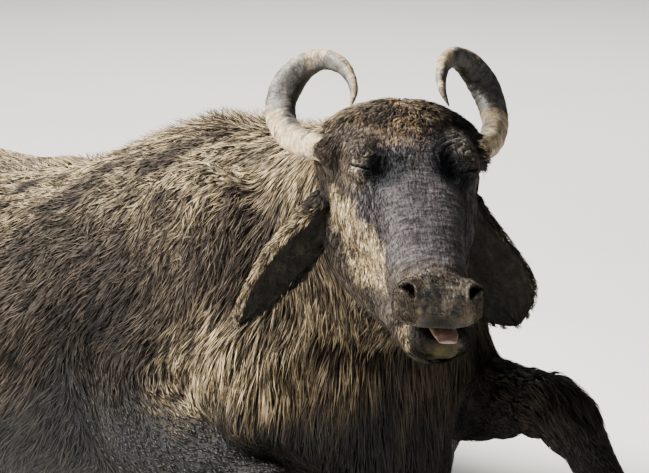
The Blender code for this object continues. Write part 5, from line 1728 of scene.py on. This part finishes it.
def muzzle_colour(paint, colour):
    """Bare grey-tan skin at the muzzle with a painted highlight under each nostril, greenish and wet on the
    chin, pink inside the mouth.
    """
    speckle = paint.range(paint.noise(45.0, 5, 0.65), 0.38, 0.62)
    bare = paint.mix(speckle, MUZZLE_DARK, MUZZLE_GREY)
    share = paint.mark("bare")
    colour = paint.mix(share, colour, bare)
    for side in (1, -1):
        strength = 0.85 if side < 0 else 0.12
        # Painted highlight: a pale spot on the swelling under each nostril, strong on the right and faint on
        # the left.
        under = paint.near(at_head(0.458, 0.034 * side, -0.030), 0.005, 0.012)
        colour = paint.mix(paint.times(under, strength), colour, PALE_MUD_AND_HIGHLIGHT)
        over = paint.near(at_head(0.404, 0.046 * side, -0.006), 0.006, 0.024)
        over = paint.times(over, paint.range(speckle, 0.2, 0.8, 0.1, strength))
        colour = paint.mix(over, colour, TAN_MUD)
    colour = paint.mix(paint.near(at_head(0.445, 0.0, -0.125), 0.030, 0.062), colour, CHIN_DARK)
    colour = paint.mix(paint.near(at_head(0.466, 0.0, -0.060), 0.020, 0.046), colour, CHIN_DARK)
    green = paint.range(paint.noise(32.0, 4), 0.38, 0.62, 0.1, 0.9)
    green = paint.times(green, paint.near(at_head(0.455, 0.018, -0.132), 0.022, 0.042))
    colour = paint.mix(green, colour, CHIN_GREEN)
    mouth = paint.near(at_head(0.415, 0.008, -0.092), 0.012, 0.034)
    return paint.mix(paint.times(mouth, 0.8), colour, LIP_PINK)


def skin_material():
    paint = Paint("buffalo_skin")
    hair, mud, mud_colour, wet = markings(paint)
    face = paint.mark("face")
    in_head = paint.mark("head_place", "Vector")
    grain = paint.noise(140.0, 4, 0.65)
    hanging = paint.noise(90.0, 3, 0.6, stretch=(1.0, 1.0, 0.18))
    down_face = paint.noise(300.0, 3, 0.6, where=in_head, stretch=(0.16, 1.0, 1.0))
    creases = paint.noise(150.0, 4, 0.65, where=in_head, stretch=(1.0, 0.22, 0.3))
    streaks = paint.plus(paint.times(hanging, paint.range(face, 0.0, 1.0, 1.0, 0.4)),
                        paint.times(down_face, paint.range(face, 0.0, 1.0, 0.0, 0.6)))
    colour = paint.mix(paint.times(mud, paint.range(streaks, 0.34, 0.60)), hair, mud_colour)
    # Painted shade: away from the face the skin is darkened to 0.45, as where the long coat shades it.
    colour = paint.shaded(colour, paint.range(face, 0.0, 1.0, 0.45, 1.0))
    colour = paint.shaded(colour, paint.range(streaks, 0.32, 0.68, 0.60, 1.30))
    colour = paint.shaded(colour, paint.range(grain, 0.25, 0.75, 0.75, 1.20))
    # Painted shade and highlight: the skin is darker in the hollows of the creases and lighter on their
    # ridges.
    colour = paint.shaded(colour, paint.range(creases, 0.32, 0.68, 0.50, 1.65))
    colour = muzzle_colour(paint, colour)
    colour = paint.mix(paint.times(wet, 0.75), colour, WET_AND_SHADE_BLACK)
    # Painted shade: the nostrils and the lids' slit and creases go nearly black.
    pit_shade = paint.mark("pit_shade")
    colour = paint.mix(pit_shade, colour, PIT_SHADE_BLACK)
    pebbles = paint.cells(170.0)
    crepe = 0.0
    for side in (1, -1):
        crepe = paint.larger(crepe, paint.near(eye_frame(side)[0], 0.022, 0.042))
    crepe = paint.times(crepe, paint.noise(230.0, 3, 0.6))
    paint.raise_by((streaks, 0.0026), (creases, 0.0032), (grain, 0.0008),
                   (pebbles, 0.0005), (crepe, 0.0022))
    moist = paint.near(at_head(0.436, 0.0, -0.006), 0.034, 0.052)
    dry = paint.range(wet, 0.0, 1.0, 0.70, 0.60)
    roughness = paint.minus(dry, paint.times(moist, 0.25))
    shine = paint.times(paint.range(grain, 0.45, 0.60), moist)
    return paint.finish(colour, roughness, paint.range(shine, 0.0, 1.0, 0.10, 0.70))


def coat_material():
    paint = Paint("buffalo_coat")
    hair, mud, mud_colour, wet = markings(paint)
    tuft = paint.mark("tuft", "Vector")
    parts = paint.add("ShaderNodeSeparateXYZ", {0: tuft}).outputs
    along, tone = parts["Y"], parts["Z"]
    strand_place = paint.step("MULTIPLY", tuft, (1.6, 0.5, 90.0))
    strands = paint.noise(2.4, 2, 0.6, where=strand_place)
    caked = paint.times(mud, paint.range(along, 0.05, 0.65, 0.15, 1.0))
    caked = paint.times(caked, paint.range(tone, 0.05, 0.75, 0.15, 1.2))
    face = paint.mark("face")
    colour = paint.mix(caked, hair, mud_colour)
    root_shade = paint.range(face, 0.0, 1.0, 0.08, 0.75)
    colour = paint.shaded(colour, paint.range(along, 0.0, 0.60, root_shade, 1.0))
    colour = paint.shaded(colour, paint.range(strands, 0.3, 0.7, 0.60, 1.35))
    darkest = paint.range(face, 0.0, 1.0, 0.20, 0.50)
    colour = paint.shaded(colour, paint.range(tone, 0.15, 0.85, darkest, 1.60))
    colour = paint.mix(paint.times(wet, 0.60), colour, WET_AND_SHADE_BLACK)
    paint.raise_by((strands, 0.0006))
    roughness = paint.range(wet, 0.0, 1.0, 0.62, 0.32)
    return paint.finish(colour, roughness, paint.range(wet, 0.0, 1.0, 0.10, 0.24))


def horn_material():
    paint = Paint("buffalo_horn")
    along = paint.mark("along")
    blotches = paint.noise(15.0, 5, 0.70)
    flecks = paint.noise(85.0, 5, 0.7)
    values = {"W": paint.times(along, 95.0), "Scale": 1.0, "Detail": 4.0}
    rings = paint.add("ShaderNodeTexNoise", values, noise_dimensions="1D").outputs[0]
    broken = paint.times(rings, paint.range(blotches, 0.35, 0.65, 0.55, 1.0))
    cream = paint.mix(paint.range(flecks, 0.38, 0.60), HORN_CREAM, HORN_OCHRE)
    slate = paint.mix(paint.range(flecks, 0.42, 0.60), HORN_SLATE, HORN_DARK)
    toward_tip = paint.range(along, 0.12, 0.50, -0.13, 0.050)
    inner = paint.mark("inner")
    toward_tip = paint.plus(toward_tip, paint.times(inner, 0.09))
    bare = paint.range(paint.plus(blotches, toward_tip), 0.46, 0.53)
    colour = paint.mix(bare, cream, slate)
    colour = paint.shaded(colour, paint.range(broken, 0.22, 0.42, 0.55, 1.0))
    # Painted shade: the side that faces into the curl is darkened.
    colour = paint.shaded(colour, paint.range(inner, -0.2, 0.9, 1.0, 0.55))
    stains = paint.times(paint.range(paint.noise(24.0, 7, 0.78), 0.50, 0.60), 0.75)
    colour = paint.mix(stains, colour, HORN_DARK)
    paint.raise_by((rings, 0.0009), (blotches, 0.0030), (flecks, 0.0016))
    return paint.finish(colour, paint.range(bare, 0.0, 1.0, 0.75, 0.50), 0.4)


def hoof_material():
    paint = Paint("buffalo_hoof")
    streaks = paint.noise(70.0, 4, 0.6)
    mud = paint.range(paint.noise(24.0, 4, 0.6), 0.42, 0.62)
    horn_grey = paint.mix(streaks, HORN_DARK, HORN_SLATE)
    colour = paint.mix(paint.times(mud, 0.7), horn_grey, TAN_MUD)
    paint.raise_by((streaks, 0.0008), (paint.noise(200.0, 3), 0.0004))
    return paint.finish(colour, paint.range(mud, 0.0, 1.0, 0.42, 0.8), 0.5)


def eye_material():
    paint = Paint("buffalo_eye")
    shine = paint.noise(120.0, 3)
    colour = paint.mix(shine, *EYE_BROWNS)
    paint.raise_by((shine, 0.0001))
    return paint.finish(colour, 0.32, 0.35)


def tongue_material():
    paint = Paint("buffalo_tongue")
    mottled = paint.noise(90.0, 4, 0.6)
    colour = paint.mix(paint.range(mottled, 0.3, 0.7), *TONGUE_PINKS)
    paint.raise_by((paint.cells(600.0), 0.0005), (mottled, 0.0005))
    return paint.finish(colour, 0.35, 0.5)


def floor_material():
    paint = Paint("studio_floor")
    faint = paint.noise(1.5, 2)
    colour = paint.mix(faint, *FLOOR_GREYS)
    return paint.finish(colour, 0.85, 0.2)


# The studio

LIGHTS_AIM = Vector((-0.1, 0.0, 0.4))
# Its way to the camera's right, towards the camera and up, its distance, size, power and colour, and
# how far behind the animal it aims
LIGHTS = (
    ("key", (-1.00, 0.14, 1.12), 4.5, 2.2, 1500, (1.0, 0.95, 0.87), 0.0),
    ("fill", (1.0, 0.8, 0.6), 5.0, 3.5, 16, (0.88, 0.93, 1.0), 0.0),
    ("backdrop", (0, 0, 1), 3.5, 5.0, 330, (1.0, 0.99, 0.97), 6.0),
)


def view_axes():
    azimuth, height = CAMERA_AZIMUTH, CAMERA_HEIGHT
    right = Vector((math.cos(azimuth), math.sin(azimuth), 0))
    level = math.cos(height)
    back = Vector((math.sin(azimuth) * level, -math.cos(azimuth) * level, math.sin(height)))
    return right, back


def set_camera():
    right, back = view_axes()
    target = POLL - right * POLL_RIGHT_OF_MIDDLE - UP * POLL_ABOVE_MIDDLE
    camera = bpy.data.cameras.new("camera")
    camera.sensor_width = SENSOR
    camera.lens = SENSOR * CAMERA_DISTANCE / FRAME_WIDTH_AT_HEAD
    camera.clip_end = 100
    stand = bpy.data.objects.new("camera", camera)
    bpy.context.scene.collection.objects.link(stand)
    stand.location = target + back * CAMERA_DISTANCE
    stand.rotation_euler = (-back).to_track_quat("-Z", "Y").to_euler()
    bpy.context.scene.camera = stand


def add_light(name, way, distance, size, power, colour, target):
    lamp = bpy.data.lights.new(name, "AREA")
    lamp.size = size
    lamp.energy = power
    lamp.color = colour
    stand = bpy.data.objects.new(name, lamp)
    bpy.context.scene.collection.objects.link(stand)
    stand.location = target + way.normalized() * distance
    stand.rotation_euler = way.to_track_quat("Z", "Y").to_euler()


def set_lights():
    right, back = view_axes()
    for name, (x, y, z), distance, size, power, colour, behind in LIGHTS:
        way = right * x + back * y + UP * z
        add_light(name, way, distance, size, power, colour, LIGHTS_AIM - back * behind)
    world = bpy.data.worlds.new("studio")
    bpy.context.scene.world = world
    world.use_nodes = True
    sky = world.node_tree.nodes["Background"]
    sky.inputs["Color"].default_value = SKY
    sky.inputs["Strength"].default_value = 0.12


def set_floor():
    mesh = bmesh.new()
    bmesh.ops.create_grid(mesh, x_segments=2, y_segments=2, size=14)
    floor = from_bmesh("studio_floor", mesh)
    floor.data.materials.append(floor_material())
    floor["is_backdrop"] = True


FLESH = ("head", "neck", "torso", "tail", "foreleg_left", "foreleg_right",
         "hindleg_left", "hindleg_right", "ear_left", "ear_right")


def dress(obj, look, slot, *nodes):
    """Gives a piece its material and its place on the body, and hides the solids it stands for."""
    obj.data.materials.clear()
    obj.data.materials.append(look)
    shade_smooth(obj)
    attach(obj, BODY)
    if nodes:
        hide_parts(*nodes)


def corners(bounds):
    return [[round(float(value), 5) for value in corner] for corner in bounds]


def main():
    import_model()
    solid_box = corners(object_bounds())
    ears = [Ear(*row) for row in EARS]
    skin = make_skin(ears)
    for ear in ears:
        bpy.data.objects.remove(ear.obj, do_unlink=True)
    coat = Coat(ears)
    mark_skin(skin, coat)
    tufts = grow_coat(skin, coat)
    dress(skin, skin_material(), "hide", *FLESH)
    hair = coat_material()
    for piece in tufts:
        dress(piece, hair, "hide")
    horny = horn_material()
    wet = eye_material()
    for word, side in (("right", -1), ("left", 1)):
        dress(horn(word + "_piece", side), horny, "horns", "horn_" + word)
        dress(eyeball(word + "_piece", side), wet, "eyes", "eye_" + word)
    dress(tongue(), tongue_material(), "tongue", "tongue")
    hooves = hoof_material()
    for name, coronet, toe, dorsal in FEET:
        for side, word in ((-1, "a"), (1, "b")):
            node = f"{name}_{word}"
            dress(claw(node + "_piece", coronet, toe, dorsal, side), hooves, "hooves", node)
    set_floor()
    set_lights()
    set_camera()
    {"solids": solid_box, "visual": corners(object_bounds())}


main()
